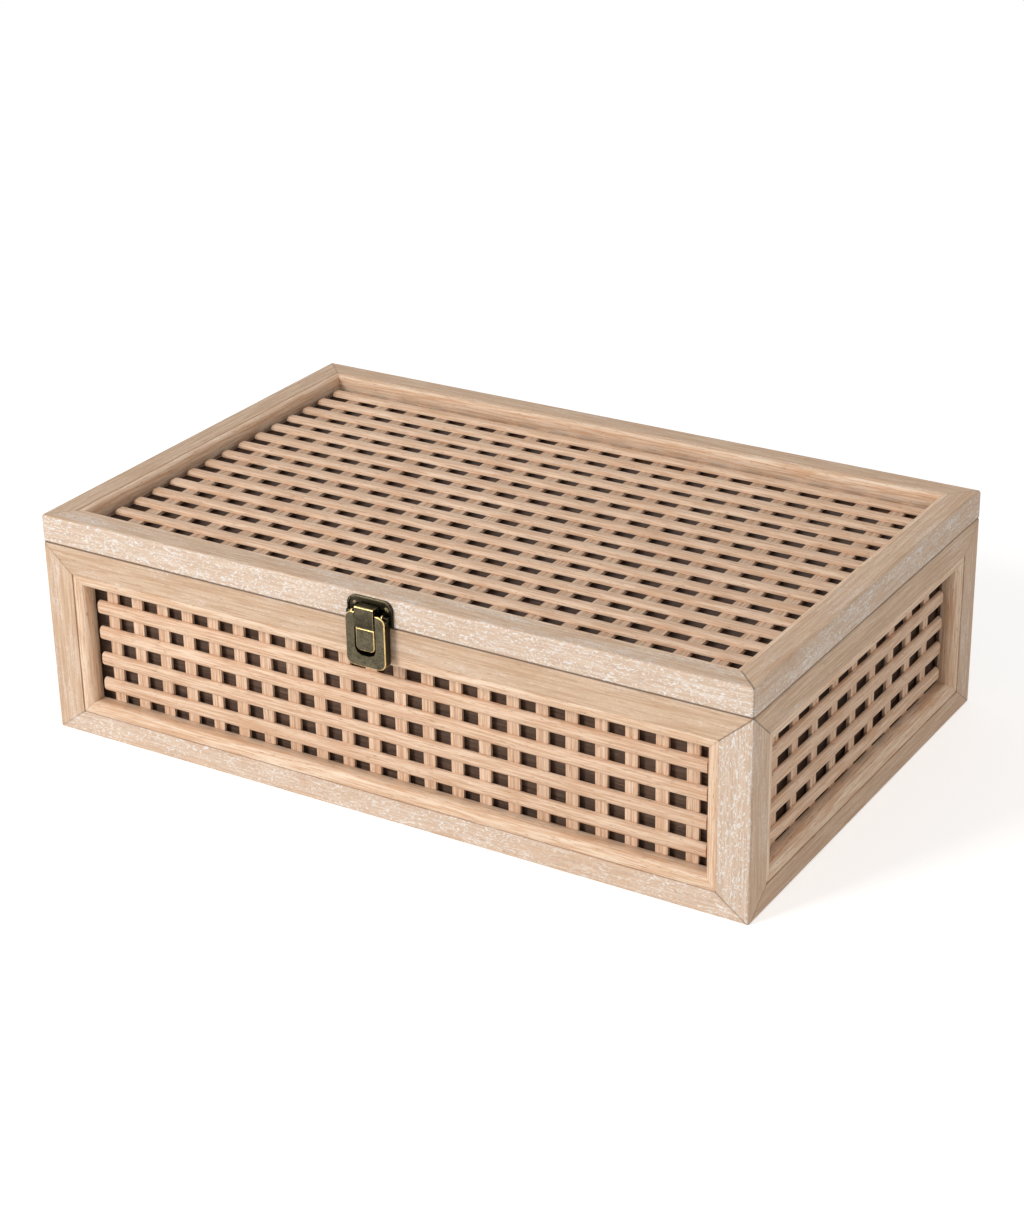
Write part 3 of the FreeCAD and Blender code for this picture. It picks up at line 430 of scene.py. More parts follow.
def eased_copy(source, width, blunt, steps=2):
    """A bmesh shaped like a CAD node, its flat faces whole and its edges sharper than blunt eased."""
    bm = bmesh.new()
    bm.from_mesh(frame["nodes"][source].data)
    bmesh.ops.remove_doubles(bm, verts=bm.verts, dist=SAME_POINT)
    bmesh.ops.dissolve_limit(bm, angle_limit=math.radians(SAME_PLANE), verts=bm.verts, edges=bm.edges)
    sharp = [edge for edge in bm.edges
             if len(edge.link_faces) == 2 and edge.calc_face_angle() > math.radians(blunt)]
    bmesh.ops.bevel(bm, geom=sharp, offset=width, segments=steps, profile=0.5, affect="EDGES",
                    clamp_overlap=True)
    bmesh.ops.remove_doubles(bm, verts=bm.verts, dist=SAME_POINT)
    return bm


def score(bm, point, normal):
    """Cut the faces along a plane, so that a shade can start there."""
    bmesh.ops.bisect_plane(bm, geom=list(bm.verts) + list(bm.edges) + list(bm.faces), dist=SAME_POINT,
                           plane_co=point, plane_no=normal)


def soften(bm, low, high, radius, flat_z):
    """Bring the points of a member that lie at the arrises of a block down to a rounding of that radius.
    The block's lower arrises stay sharp, and with flat_z its upper ones too."""
    axes = (0, 1) if flat_z else (0, 1, 2)
    for axis in axes:
        direction = Vector([float(axis == other) for other in range(3)])
        for reach in ROUND_CUTS:
            score(bm, high - direction * radius * reach, direction)
            if axis < 2:
                score(bm, low + direction * radius * reach, direction)
    for vertex in bm.verts:
        core = vertex.co.copy()
        for axis in axes:
            bottom = low[axis] + (radius if axis < 2 else -1)
            core[axis] = min(max(core[axis], bottom), high[axis] - radius)
        off = vertex.co - core
        if off.length > radius:
            vertex.co = core + off.normalized() * radius


def fade(given, near, far):
    """One up to near, falling evenly to nothing at far."""
    return min(1.0, max(0.0, (far - given) / (far - near)))


def grain_point(point, along):
    """A point with its coordinate along the grain first."""
    return Vector((point[along], point[(along + 1) % 3], point[(along + 2) % 3]))


def lay_grain(bm, name, along, crevice=lambda point, normal: 0.0, liming=lambda normal: 0.0):
    """Write where the grain runs, how dark with dirt and painted shade, and how limed the wood is, for one
    member of its own plank.
    """
    chance = random.Random(name)
    shift = Vector([chance.uniform(-PLANK_SHIFT, PLANK_SHIFT) for _ in range(3)])
    tone = chance.uniform(*PLANK_TONES)
    grain_layer = bm.verts.layers.float_vector.new("grain")
    tone_layer = bm.verts.layers.float.new("tone")
    crevice_dirt_and_shade_layer = bm.loops.layers.float.new("crevice")
    liming_layer = bm.loops.layers.float.new("liming")
    bm.normal_update()
    for vertex in bm.verts:
        vertex[grain_layer] = grain_point(vertex.co, along) + shift
        vertex[tone_layer] = tone
    for face in bm.faces:
        for loop in face.loops:
            loop[crevice_dirt_and_shade_layer] = crevice(loop.vert.co, face.normal)
            loop[liming_layer] = liming(face.normal)


def outward(side):
    """The direction in which a wall faces."""
    return Matrix.Rotation(math.radians(WALLS[side]), 3, "Z") @ Vector((0, -1, 0))


# How limed each member is; the others are limed by OTHER_LIMED.
LIMED = {
    "lid_front_rim": 0.85, "lid_right_rim": 0.6, "lid_back_rim": 0.45, "lid_left_rim": 0.45,
    "front_right_stile": 0.75, "front_bottom_rail": 0.6, "front_top_rail": 0.3, "front_left_stile": 0.34,
    "right_left_stile": 0.45, "right_top_rail": 0.3, "right_bottom_rail": 0.26, "right_right_stile": 0.4,
}
OTHER_LIMED = 0.35
LID_TOP_SHADED_LIMING = 0.55  # the share of that on the lid's upper face; less white there paints that face darker than its sides, as painted shade


class KEEPSAKE_OT_frames(bpy.types.Operator):
    """Make the mitred members of the wall frames and of the lid frame"""

    bl_idname = "keepsake.frames"
    bl_label = "Frames"

    def execute(self, context):
        for side, run in RUN.items():
            for member in MEMBERS:
                self.member("%s_%s" % (side, member), side, 2 if "stile" in member else run)
            self.member("lid_%s_rim" % side, side, run)
        return {"FINISHED"}

    def member(self, source, side, along):
        """One member, with a dark line of dirt and painted shade beside its mitres, and painted shade beside
        the seam under the lid.
        """
        wood = bpy.context.scene.keepsake_wood
        facing = outward(side)
        low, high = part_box(source)
        face = max(low.dot(facing), high.dot(facing))
        is_lid = source in LID_RIMS
        corner = LID_CORNER if is_lid else WALL_CORNER
        joints = [(point, normal, corner if point.x > 0 > point.y else MITRE)
                  for point, normal in self.mitres(side, is_lid, face)]
        if is_lid or source in TOP_RAILS:
            joints.append((Vector((0, 0, low.z if is_lid else high.z)), Vector((0, 0, 1)), SEAM))
        near = wood.ease * EASE_REACH
        far = near + wood.joint_line
        bm = eased_copy(source, wood.ease, BLUNT_WOOD)
        ends = [end for name in (LID_RIMS if is_lid else TOP_RAILS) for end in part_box(name)]
        block = [Vector([pick(end[axis] for end in ends) for axis in range(3)]) for pick in (min, max)]
        soften(bm, block[0], block[1], wood.arris, not is_lid)
        for point, normal, _ in joints:
            for reach in (-far, far):
                score(bm, point + normal * reach, normal)
        score(bm, facing * (face - JOINT_DEPTH), facing)

        # Dirt and painted shade near each joint, fading with depth inside it.
        def crevice(point, normal):
            depth = face - point.dot(facing)
            if is_lid and abs(normal.z) < ALONG:
                depth = min(depth, max(CAD_BOX[1].z - point.z, 0))
            darkest = 0.0
            for spot, across, strength in joints:
                shade = fade(abs((point - spot).dot(across)), near, far)
                if abs(normal.dot(across)) > ALONG:
                    shade *= fade(depth, JOINT_MOUTH, JOINT_DEPTH)
                if is_lid and abs(normal.z) < ACROSS and abs(across.z) < ACROSS:
                    shade *= LID_MITRE_SIDE
                darkest = max(darkest, strength * shade)
            return darkest

        def liming(normal):
            # The lid's upper face gets less liming: painted shade.
            is_top = is_lid and abs(normal.z) > ALONG
            return LIMED.get(source, OTHER_LIMED) * (LID_TOP_SHADED_LIMING if is_top else 1.0)

        lay_grain(bm, source, along, crevice, liming)
        hand_over(evened(bm, source + "_wood"), source, "limed_frame_wood")

    def mitres(self, side, is_lid, face):
        """A point and the normal of each mitre plane of a frame: from its outer to its inner corners."""
        run = RUN[side]
        rise = 1 - run if is_lid else 2
        names = LID_RIMS if is_lid else ["%s_%s" % (side, member) for member in MEMBERS]
        boxes = [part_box(name) for name in names]
        outer = [(min(low[axis] for low, _ in boxes), max(high[axis] for _, high in boxes))
                 for axis in (run, rise)]
        widths = [min(high[axis] - low[axis] for low, high in boxes) for axis in (run, rise)]
        top, bottom = boxes[:2]
        heights = [widths[1]] * 2 if is_lid else [bottom[1].z - bottom[0].z, top[1].z - top[0].z]
        for at_run in (0, 1):
            for at_rise in (0, 1):
                corner, slant = Vector((0, 0, 0)), Vector((0, 0, 0))
                corner[run], corner[rise] = outer[0][at_run], outer[1][at_rise]
                if not is_lid:
                    corner[1 - run] = face * outward(side)[1 - run]
                slant[run] = heights[at_rise] * (1 if at_run else -1)
                slant[rise] = -widths[0] * (1 if at_rise else -1)
                yield corner, slant.normalized()


def mitred_strip(bm, layers, profile, half, place, shift):
    """A moulding of one profile from mitre to mitre. Each profile point is (inwards from the frame, depth,
    how much painted shade); place turns (along, inwards, depth) into a point of the box."""
    grain_layer, tone_layer, crevice_dirt_and_shade_layer = layers
    rings = []
    for end in (-1, 1):
        ring = []
        for inwards, depth, dark in profile:
            local = Vector((end * (half - inwards), inwards, depth))
            vertex = bm.verts.new(place(local))
            vertex[grain_layer] = local + shift
            vertex[tone_layer] = 1.0
            vertex[crevice_dirt_and_shade_layer] = dark
            ring.append(vertex)
        rings.append(ring)
    count = len(profile)
    for index in range(count):
        after = (index + 1) % count
        bm.faces.new((rings[0][index], rings[0][after], rings[1][after], rings[1][index]))
    bm.faces.new(list(reversed(rings[0])))
    bm.faces.new(rings[1])


BEAD_SHADE_FADE, BEAD_BACK_SHADE = 1.5, 0.35  # how fast the painted shade in the groove between a bead and its frame fades, and how much painted shade its back edge gets


def bead_profile(width, back, inner_round, outer_round, steps):
    """Outline of a bead: square behind, rounded towards the lattice and a little beside the frame."""
    # Each point's last number is painted shade: full at the back beside the frame, fading round the outer
    # rounding, none towards the lattice, and some at the back edge.
    points = [(0.0, back, 1.0)]
    for index in range(steps + 1):
        turn = math.pi / 2 * index / steps
        points.append((outer_round * (1 - math.cos(turn)), outer_round * (1 - math.sin(turn)),
                       (1 - index / steps) ** BEAD_SHADE_FADE))
    for index in range(2 * steps + 1):
        turn = math.pi / 2 * index / (2 * steps)
        points.append((width - inner_round * (1 - math.sin(turn)), inner_round * (1 - math.cos(turn)), 0.0))
    points.append((width, back, BEAD_BACK_SHADE))
    return points


class KEEPSAKE_OT_beads(bpy.types.Operator):
    """Make the mitred bead inside each frame"""

    bl_idname = "keepsake.beads"
    bl_label = "Beads"

    def execute(self, context):
        lattice = context.scene.keepsake_lattice
        for side, turn in WALLS.items():
            spin = Matrix.Rotation(math.radians(turn), 3, "Z")
            low, high = (spin.transposed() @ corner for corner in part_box(side + "_bead"))
            low, high = Vector(map(min, low, high)), Vector(map(max, low, high))
            profile = bead_profile(lattice.bead_width, high.y - low.y, lattice.bead_round,
                                   lattice.bead_outer_round, 4)
            self.ring(side + "_bead", profile, spin, low, high, 2)
        low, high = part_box("lid_bead")
        profile = bead_profile(lattice.lid_bead_width, high.z - low.z, lattice.lid_bead_round, FINE_ROUND, 3)
        self.ring("lid_bead", profile, Matrix.Identity(3), low, high, 1)
        return {"FINISHED"}

    def ring(self, source, profile, spin, low, high, rise):
        """Four strips round an opening that lies across X and the axis named by rise."""
        middle = (low + high) / 2
        sizes = high - low
        bm = bmesh.new()
        layers = (bm.verts.layers.float_vector.new("grain"), bm.verts.layers.float.new("tone"),
                  bm.verts.layers.float.new("crevice"))
        chance = random.Random(source)
        for quarter in range(4):
            spans = (sizes.x, sizes[rise]) if quarter % 2 == 0 else (sizes[rise], sizes.x)
            half, reach = spans[0] / 2 - BEAD_GAP, spans[1] / 2
            turn = Matrix.Rotation(math.radians(90 * quarter), 2)

            def place(local):
                across, up = turn @ Vector((local.x, local.y - reach))
                if rise == 2:
                    return spin @ Vector((middle.x + across, low.y + local.z, middle.z + up))
                return Vector((middle.x + across, middle.y + up, high.z - local.z))

            shift = Vector([chance.uniform(-PLANK_SHIFT, PLANK_SHIFT) for _ in range(3)])
            mitred_strip(bm, layers, profile, half, place, shift)
        bmesh.ops.recalc_face_normals(bm, faces=bm.faces)
        crease(bm, CREASE)
        hand_over(evened(bm, source + "_wood"), source, "bead_wood")


# Rows of strips.
def tree_inputs(tree, **kinds):
    """Named inputs of each kind and one geometry output; the sockets of both inside the tree come back."""
    for kind, names in kinds.items():
        for name in names:
            tree.interface.new_socket(name, in_out="INPUT", socket_type="NodeSocket" + kind)
    tree.interface.new_socket("Geometry", in_out="OUTPUT", socket_type="NodeSocketGeometry")
    return tree.nodes.new("NodeGroupInput").outputs, tree.nodes.new("NodeGroupOutput").inputs[0]


# How full a reed is and how many cuts shape it, the width of the groove between reeds and its painted shade,
# and the size of a strip's end.
REED_FULLNESS, REED_CUTS, GROOVE_SHARE, GROOVE_SHADE, END_SIZE = 0.8, 7, 0.12, 0.22, 0.9


def strip_row_tree():
    """Strips side by side along Y, each lying along X with its rounded face up."""
    tree = bpy.data.node_groups.new("strip_row", "GeometryNodeTree")
    given, result = tree_inputs(
        tree, Geometry=["Geometry"], Int=["Reed cuts", "Count", "Seed"], Vector=["Turn", "Place"],
        Float=["Length", "Width", "Thickness", "Face round", "Back round", "Reed depth", "End easing", "Span",
               "Wander", "Tone", "Tone spread"],
        Material=["Material"])
    geo, calc, times, vector = (partial(maker, tree) for maker in (shaping, maths, product, combined))

    def store(shape, name, value, kind="FLOAT", domain="POINT"):
        return geo("StoreNamedAttribute", {"Geometry": shape, "Name": name, "Value": value}, data_type=kind,
                   domain=domain)

    def chance(key, low, high, kind="FLOAT"):
        """A random value for each strip, with a seed of its own."""
        return random_value(tree, calc("ADD", given["Seed"], key), low, high, kind)

    # One strip: a rounded outline carried along a line whose two ends draw in a little.
    outline = geo("CurvePrimitiveQuadrilateral", {"Width": given["Width"], "Height": given["Thickness"]})
    outline = geo("SubdivideCurve", {"Curve": outline, "Cuts": given["Reed cuts"]})
    position = geo("InputPosition")
    split = node(tree, "ShaderNodeSeparateXYZ", {0: position}).outputs
    is_face = calc("LESS_THAN", split["Y"], times(given["Thickness"], -0.49))
    wave = calc("SINE", times(calc("DIVIDE", split["X"], given["Width"]), 2 * math.pi))
    dip = calc("SUBTRACT", 1, calc("POWER", calc("ABSOLUTE", wave), REED_FULLNESS))
    dip = vector(Y=times(dip, given["Reed depth"]))
    reeded = geo("SetPosition", {"Geometry": outline, "Selection": is_face, "Offset": dip})
    radius = geo("Switch", {"Switch": is_face, "False": given["Back round"], "True": given["Face round"]},
                 input_type="FLOAT")
    rounded = geo("FilletCurve", {"Curve": outline, "Count": 5, "Radius": radius, "Limit Radius": True},
                  mode="POLY")
    is_reeded = calc("GREATER_THAN", given["Reed depth"], 0)
    outline = geo("Switch", {"Switch": is_reeded, "False": rounded, "True": reeded}, input_type="GEOMETRY")
    end = times(given["Length"], 0.5)
    line = geo("CurvePrimitiveLine", {"Start": vector(X=times(end, -1)), "End": vector(X=end)})
    line = geo("ResampleCurve", {"Curve": line, "Count": 4})
    is_inner = calc("COMPARE", geo("InputIndex"), 1.5, 0.9)
    stretch = calc("SUBTRACT", 3, calc("DIVIDE", times(given["End easing"], 6), given["Length"]))
    moved = put(tree, "ShaderNodeVectorMath", {0: position, "Scale": stretch}, operation="SCALE")
    line = geo("SetPosition", {"Geometry": line, "Selection": is_inner, "Position": moved})
    size = calc("ADD", END_SIZE, times(is_inner, 1 - END_SIZE))
    line = geo("SetCurveNormal", {"Curve": line}, mode="Z_UP")
    strip = geo("CurveToMesh", {"Curve": line, "Profile Curve": outline, "Scale": size, "Fill Caps": True})
    strip = store(strip, "grain", position, "FLOAT_VECTOR")
    # Painted shade along the groove between an upright's two reeds.
    groove = put(tree, "ShaderNodeMapRange", {
        "Value": calc("ABSOLUTE", split["Y"]), "From Min": 0,
        "From Max": times(given["Width"], GROOVE_SHARE), "To Min": GROOVE_SHADE, "To Max": 0})
    groove = times(times(groove, is_reeded), calc("GREATER_THAN", split["Z"], 0))
    strip = store(strip, "crevice", groove)

    # The row, with each strip a little off its even place and cut from its own plank.
    half = times(given["Span"], 0.5)
    points = geo("MeshLine", {"Count": given["Count"], "Start Location": vector(Y=times(half, -1)),
                              "Offset": vector(Y=half)}, mode="END_POINTS")
    wander = chance(1, times(given["Wander"], -1), given["Wander"])
    points = geo("SetPosition", {"Geometry": points, "Offset": vector(Y=wander)})
    row = geo("InstanceOnPoints", {"Points": points, "Instance": strip})
    row = store(row, "tone", chance(2, *(calc(way, given["Tone"], given["Tone spread"])
                                         for way in ("SUBTRACT", "ADD"))), domain="INSTANCE")
    plank = chance(3, (-PLANK_SHIFT,) * 3, (PLANK_SHIFT,) * 3, "FLOAT_VECTOR")
    row = store(row, "plank", plank, "FLOAT_VECTOR", "INSTANCE")
    row = geo("RealizeInstances", {"Geometry": row})
    stored = [geo("InputNamedAttribute", {"Name": name}, data_type="FLOAT_VECTOR")
              for name in ("grain", "plank")]
    summed = put(tree, "ShaderNodeVectorMath", dict(enumerate(stored)), operation="ADD")
    row = store(row, "grain", summed, "FLOAT_VECTOR")
    row = geo("RemoveAttribute", {"Geometry": row, "Name": "plank"})
    is_sharp = calc("GREATER_THAN", geo("InputMeshEdgeAngle"), math.radians(CREASE))
    row = geo("SetShadeSmooth", {"Geometry": row, "Shade Smooth": True})
    row = geo("SetShadeSmooth", {"Geometry": row, "Selection": is_sharp, "Shade Smooth": False},
              domain="EDGE")
    row = geo("Transform", {"Geometry": row, "Translation": given["Place"], "Rotation": given["Turn"]})
    row = geo("RealizeInstances", {"Geometry": row})
    tree.links.new(geo("SetMaterial", {"Geometry": row, "Material": given["Material"]}), result)
    return tree


def run_tree(tree, mesh, name, values):
    """Run a node tree on a mesh, with its inputs set by name, and keep the result as a plain mesh."""
    piece = placed(name + "_draft", mesh)
    modifier = piece.modifiers.new("shape", "NODES")
    modifier.node_group = tree
    sockets = {item.name: item.identifier for item in tree.interface.items_tree
               if item.item_type == "SOCKET" and item.in_out == "INPUT"}
    for key, given in values.items():
        modifier[sockets[key]] = given
    return plain_mesh(piece, name)


def strip_row(source, along, across, width, count, face_round, reed_depth=0.0, tone_spread=0.035, tone=1.0):
    """A row of strips in the place of a CAD node. along and across are the directions of the strips
    and of the row, so the strips' rounded faces look along their cross product."""
    lattice = bpy.context.scene.keepsake_lattice
    low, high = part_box(source)
    along, across = Vector(along), Vector(across)
    axes = (along, across, along.cross(across))
    extent = [abs((high - low).dot(axis)) for axis in axes]
    values = {
        "Length": extent[0], "Width": width, "Thickness": extent[2], "Face round": face_round,
        "Back round": FINE_ROUND, "Reed depth": reed_depth, "Reed cuts": REED_CUTS if reed_depth else 0,
        "End easing": lattice.end_ease, "Count": count, "Span": extent[1] - width, "Wander": lattice.wander,
        "Tone": tone, "Tone spread": tone_spread, "Seed": sum(map(ord, source)),
        "Turn": Matrix(axes).transposed().to_euler(), "Place": (low + high) / 2,
        "Material": finish("slat_wood"),
    }
    tree = bpy.data.node_groups.get("strip_row") or strip_row_tree()
    piece = run_tree(tree, bpy.data.meshes.new(source), source + "_strips", values)
    hand_over(piece, source, "slat_wood")


class KEEPSAKE_OT_wall_slats(bpy.types.Operator):
    """Make the rounded slats along each wall"""

    bl_idname = "keepsake.wall_slats"
    bl_label = "Wall slats"

    def execute(self, context):
        lattice = context.scene.keepsake_lattice
        for side in WALLS:
            along = Vector((0, 0, 1)).cross(outward(side))
            strip_row(side + "_slats", along, (0, 0, 1), lattice.slat_width, lattice.slat_count,
                      lattice.slat_round)
        return {"FINISHED"}


REEDED_SPREAD = 0.05  # how much the reeded strips differ in tone


class KEEPSAKE_OT_wall_uprights(bpy.types.Operator):
    """Make the flat uprights behind the slats of each wall"""

    bl_idname = "keepsake.wall_uprights"
    bl_label = "Wall uprights"

    def execute(self, context):
        lattice = context.scene.keepsake_lattice
        for side, run in RUN.items():
            across = outward(side).cross(Vector((0, 0, 1)))
            strip_row(side + "_uprights", (0, 0, 1), across, lattice.upright_width,
                      lattice.side_uprights if run else lattice.long_uprights, FINE_ROUND, lattice.reed_depth,
                      REEDED_SPREAD)
        return {"FINISHED"}


class KEEPSAKE_OT_lid_lattice(bpy.types.Operator):
    """Make the lid's slats and the cross strips under them"""

    bl_idname = "keepsake.lid_lattice"
    bl_label = "Lid lattice"

    def execute(self, context):
        lattice = context.scene.keepsake_lattice
        strip_row("lid_slats", (1, 0, 0), (0, 1, 0), lattice.lid_slat_width, lattice.lid_slats,
                  lattice.slat_round)
        # The cross strips' lower tone is painted shade under the lid slats.
        strip_row("lid_cross_strips", (0, 1, 0), (-1, 0, 0), lattice.cross_width, lattice.cross_strips,
                  FINE_ROUND, lattice.reed_depth, REEDED_SPREAD, lattice.cross_tone)
        return {"FINISHED"}


class KEEPSAKE_OT_boards(bpy.types.Operator):
    """Make the bottom board and the thin boards that line the lattices"""

    bl_idname = "keepsake.boards"
    bl_label = "Boards"

    def execute(self, context):
        grain = {side + "_lining": run for side, run in RUN.items()}
        grain.update({"bottom_board": 0, "lid_lining": 0})
        for source, along in grain.items():
            bm = eased_copy(source, context.scene.keepsake_wood.ease, BLUNT_WOOD)
            lay_grain(bm, source, along)
            hand_over(evened(bm, source + "_wood"), source, "board_wood")
        return {"FINISHED"}


# Metal.
RUBBED_AND_HIGHLIT_TURNS = (18, 24)  # an outer edge is coloured bright, as wear and painted highlight, where it turns by more at a point, fully at the second


def never(_):
    return False


def lay_wear_and_painted_light(bm, is_grimy=never, is_highlit=never):
    """Write how bright and how dark the metal is at each point: bright edge wear and painted highlight, dark
    dirt, patina and painted shade. The test of the dark asks where a point lies, and that of the bright which
    way it faces."""
    wear_and_highlight_layer = bm.verts.layers.float.new("wear")
    grime_and_shade_layer = bm.verts.layers.float.new("grime")
    bm.normal_update()
    for vertex in bm.verts:
        turns = [edge.calc_face_angle_signed(0) for edge in vertex.link_edges if len(edge.link_faces) == 2]
        rubbed_and_highlit = 1 - fade(max(turns, default=0), *map(math.radians, RUBBED_AND_HIGHLIT_TURNS))
        # Dirt, patina and painted shade where the piece asks for it.
        grimy_or_shaded = float(is_grimy(vertex.co))
        vertex[wear_and_highlight_layer] = max(rubbed_and_highlit, float(is_highlit(vertex.normal))) * (1 - grimy_or_shaded)
        vertex[grime_and_shade_layer] = grimy_or_shaded


def metal_copy(source, width, is_grimy=never, is_highlit=never):
    """A metal piece shaped like its CAD node. A margin inside each broad face keeps the bright wear and
    painted highlight off it.
    """
    bm = eased_copy(source, width, BLUNT_METAL, 3)
    broad = [face for face in bm.faces if face.calc_area() > 2 * width * face.calc_perimeter()]
    bmesh.ops.inset_individual(bm, faces=broad, thickness=width, use_even_offset=False)
    lay_wear_and_painted_light(bm, is_grimy, is_highlit)
    crease(bm, METAL_CREASE)
    hand_over(evened(bm, source + "_metal"), source, "antique_brass")


class KEEPSAKE_OT_hinges(bpy.types.Operator):
    """Make the two hinges at the back"""

    bl_idname = "keepsake.hinges"
    bl_label = "Hinges"

    def execute(self, context):
        for side in ("left", "right"):
            for part in ("lower_leaf", "upper_leaf", "pin"):
                metal_copy("%s_hinge_%s" % (side, part), context.scene.keepsake_brass.ease)
        return {"FINISHED"}


class KEEPSAKE_OT_latch(bpy.types.Operator):
    """Make the toggle latch at the front"""

    bl_idname = "keepsake.latch"
    bl_label = "Toggle latch"

    # How far the plates, the narrow gap beside the hook, the block and the lever stand out from the front.
    PLATE, GAP, BLOCK, LEVER = 0.0011, 0.002, 0.0051, 0.0052
    SEAM_RISE = 0.0002  # from the walls' top to the middle of the seam under the lid
    GAP_ABOVE, GAP_BELOW = 0.0006, 0.0008  # how far the painted shade in the gap by the hook's foot reaches from the seam
    ROUND = (0.25, 0.94)  # how squarely the rounds of the front edges face the front, for their painted highlight
    # A point this near the lever's flank counts as on it, for the flank's painted shade.
    NEAR_FLANK = 0.0001

    def execute(self, context):
        brass = context.scene.keepsake_brass
        low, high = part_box("front_top_rail")
        front, seam = low.y, high.z + self.SEAM_RISE
        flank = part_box("latch_lever_plate")[1].x

        def in_hollow_or_shade(point):
            """Dirt and patina darken the plates; the lever's flanks and the gap between the hook and the
            block below get the same dark as painted shade.
            """
            out, up = front - point.y, point.z - seam
            in_shaded_gap = 0 < up < self.GAP_ABOVE or (out < self.BLOCK and -self.GAP_BELOW < up <= 0)
            on_shaded_flank = abs(point.x) > flank - self.NEAR_FLANK and out < self.LEVER
            return out < self.PLATE or (out > self.GAP and in_shaded_gap) or on_shaded_flank

        def on_highlit_round(normal):
            """The rounds of the front edges get a painted highlight, coloured as rubbed brass."""
            return self.ROUND[0] < -normal.y < self.ROUND[1]

        metal_copy("latch_catch_plate", brass.ease, in_hollow_or_shade)
        for part in ("hook_strap", "base_plate", "lever_plate"):
            metal_copy("latch_" + part, brass.broad_ease, in_hollow_or_shade, on_highlit_round)
        for part in ("hook_pin", "rivets"):
            metal_copy("latch_" + part, brass.fine_ease, in_hollow_or_shade)
        return {"FINISHED"}


def fastener_tree():
    """A copy of one fastener at each point of a mesh, each driven home at its own angle."""
    tree = bpy.data.node_groups.new("fastener_row", "GeometryNodeTree")
    given, result = tree_inputs(tree, Geometry=["Geometry"], Object=["Fastener"], Vector=["Facing"],
                                Int=["Seed"], Material=["Material"])
    geo = partial(shaping, tree)
    points = geo("MeshToPoints", {"Mesh": given["Geometry"]})
    shape = node(tree, "GeometryNodeObjectInfo", {"Object": given["Fastener"]}).outputs["Geometry"]
    spin = combined(tree, Z=random_value(tree, given["Seed"], 0.0, math.pi))
    turned = put(tree, "FunctionNodeRotateEuler", {"Rotation": spin, "Rotate By": given["Facing"]})
    row = geo("InstanceOnPoints", {"Points": points, "Instance": shape, "Rotation": turned})
    row = geo("RealizeInstances", {"Geometry": row})
    tree.links.new(geo("SetMaterial", {"Geometry": row, "Material": given["Material"]}), result)
    return tree


DOME_STEPS, HEAD_SIDES = 6, 24
SLOT_RISE = 0.95  # how high the middle of a slot's cutter lies, in heights of the head


def fastener_shape(name, head_radius, head_height, shank_radius, shank, slot_width):
    """One domed fastener along Z, its head's seat at the origin and, for a screw, a slot in its head."""
    dome = (head_radius ** 2 + head_height ** 2) / (2 * head_height)
    turns = [math.asin(head_radius / dome) * index / DOME_STEPS for index in range(1, DOME_STEPS + 1)]
    profile = [(0.0, head_height)]
    profile += [(dome * math.sin(turn), head_height - dome * (1 - math.cos(turn))) for turn in turns]
    profile += [(shank_radius, 0.0), (shank_radius, -shank), (0.0, -shank)]
    bm = bmesh.new()
    line = [bm.verts.new((x, 0, z)) for x, z in profile]
    for first, second in zip(line, line[1:]):
        bm.edges.new((first, second))
    bmesh.ops.spin(bm, geom=list(bm.verts) + list(bm.edges), cent=(0, 0, 0), axis=(0, 0, 1),
                   angle=2 * math.pi, steps=HEAD_SIDES, use_merge=True)
    bmesh.ops.remove_doubles(bm, verts=bm.verts, dist=SAME_POINT)
    bmesh.ops.recalc_face_normals(bm, faces=bm.faces)
    lay_wear_and_painted_light(bm)
    crease(bm, CREASE)
    mesh = mesh_of(bm, name)
    mesh.shade_smooth()
    piece = placed(name, mesh)
    if slot_width:
        bm = bmesh.new()
        bmesh.ops.create_cube(bm, size=1)
        for vertex in bm.verts:
            vertex.co = Vector((vertex.co.x * slot_width, vertex.co.y * 4 * head_radius,
                                vertex.co.z * head_height + head_height * SLOT_RISE))
        cutter = placed(name + "_slot", mesh_of(bm, name + "_slot"))
        cut = piece.modifiers.new("slot", "BOOLEAN")
        cut.operation = "DIFFERENCE"
        cut.solver = "EXACT"
        cut.object = cutter
        piece = plain_mesh(piece, name)
        bpy.data.meshes.remove(cutter.data)
    return piece


# Radius and height of the head, and radius of the shank.
SCREW, NAIL = (0.0021, 0.0009, 0.0011), (0.00125, 0.0006, 0.0006)


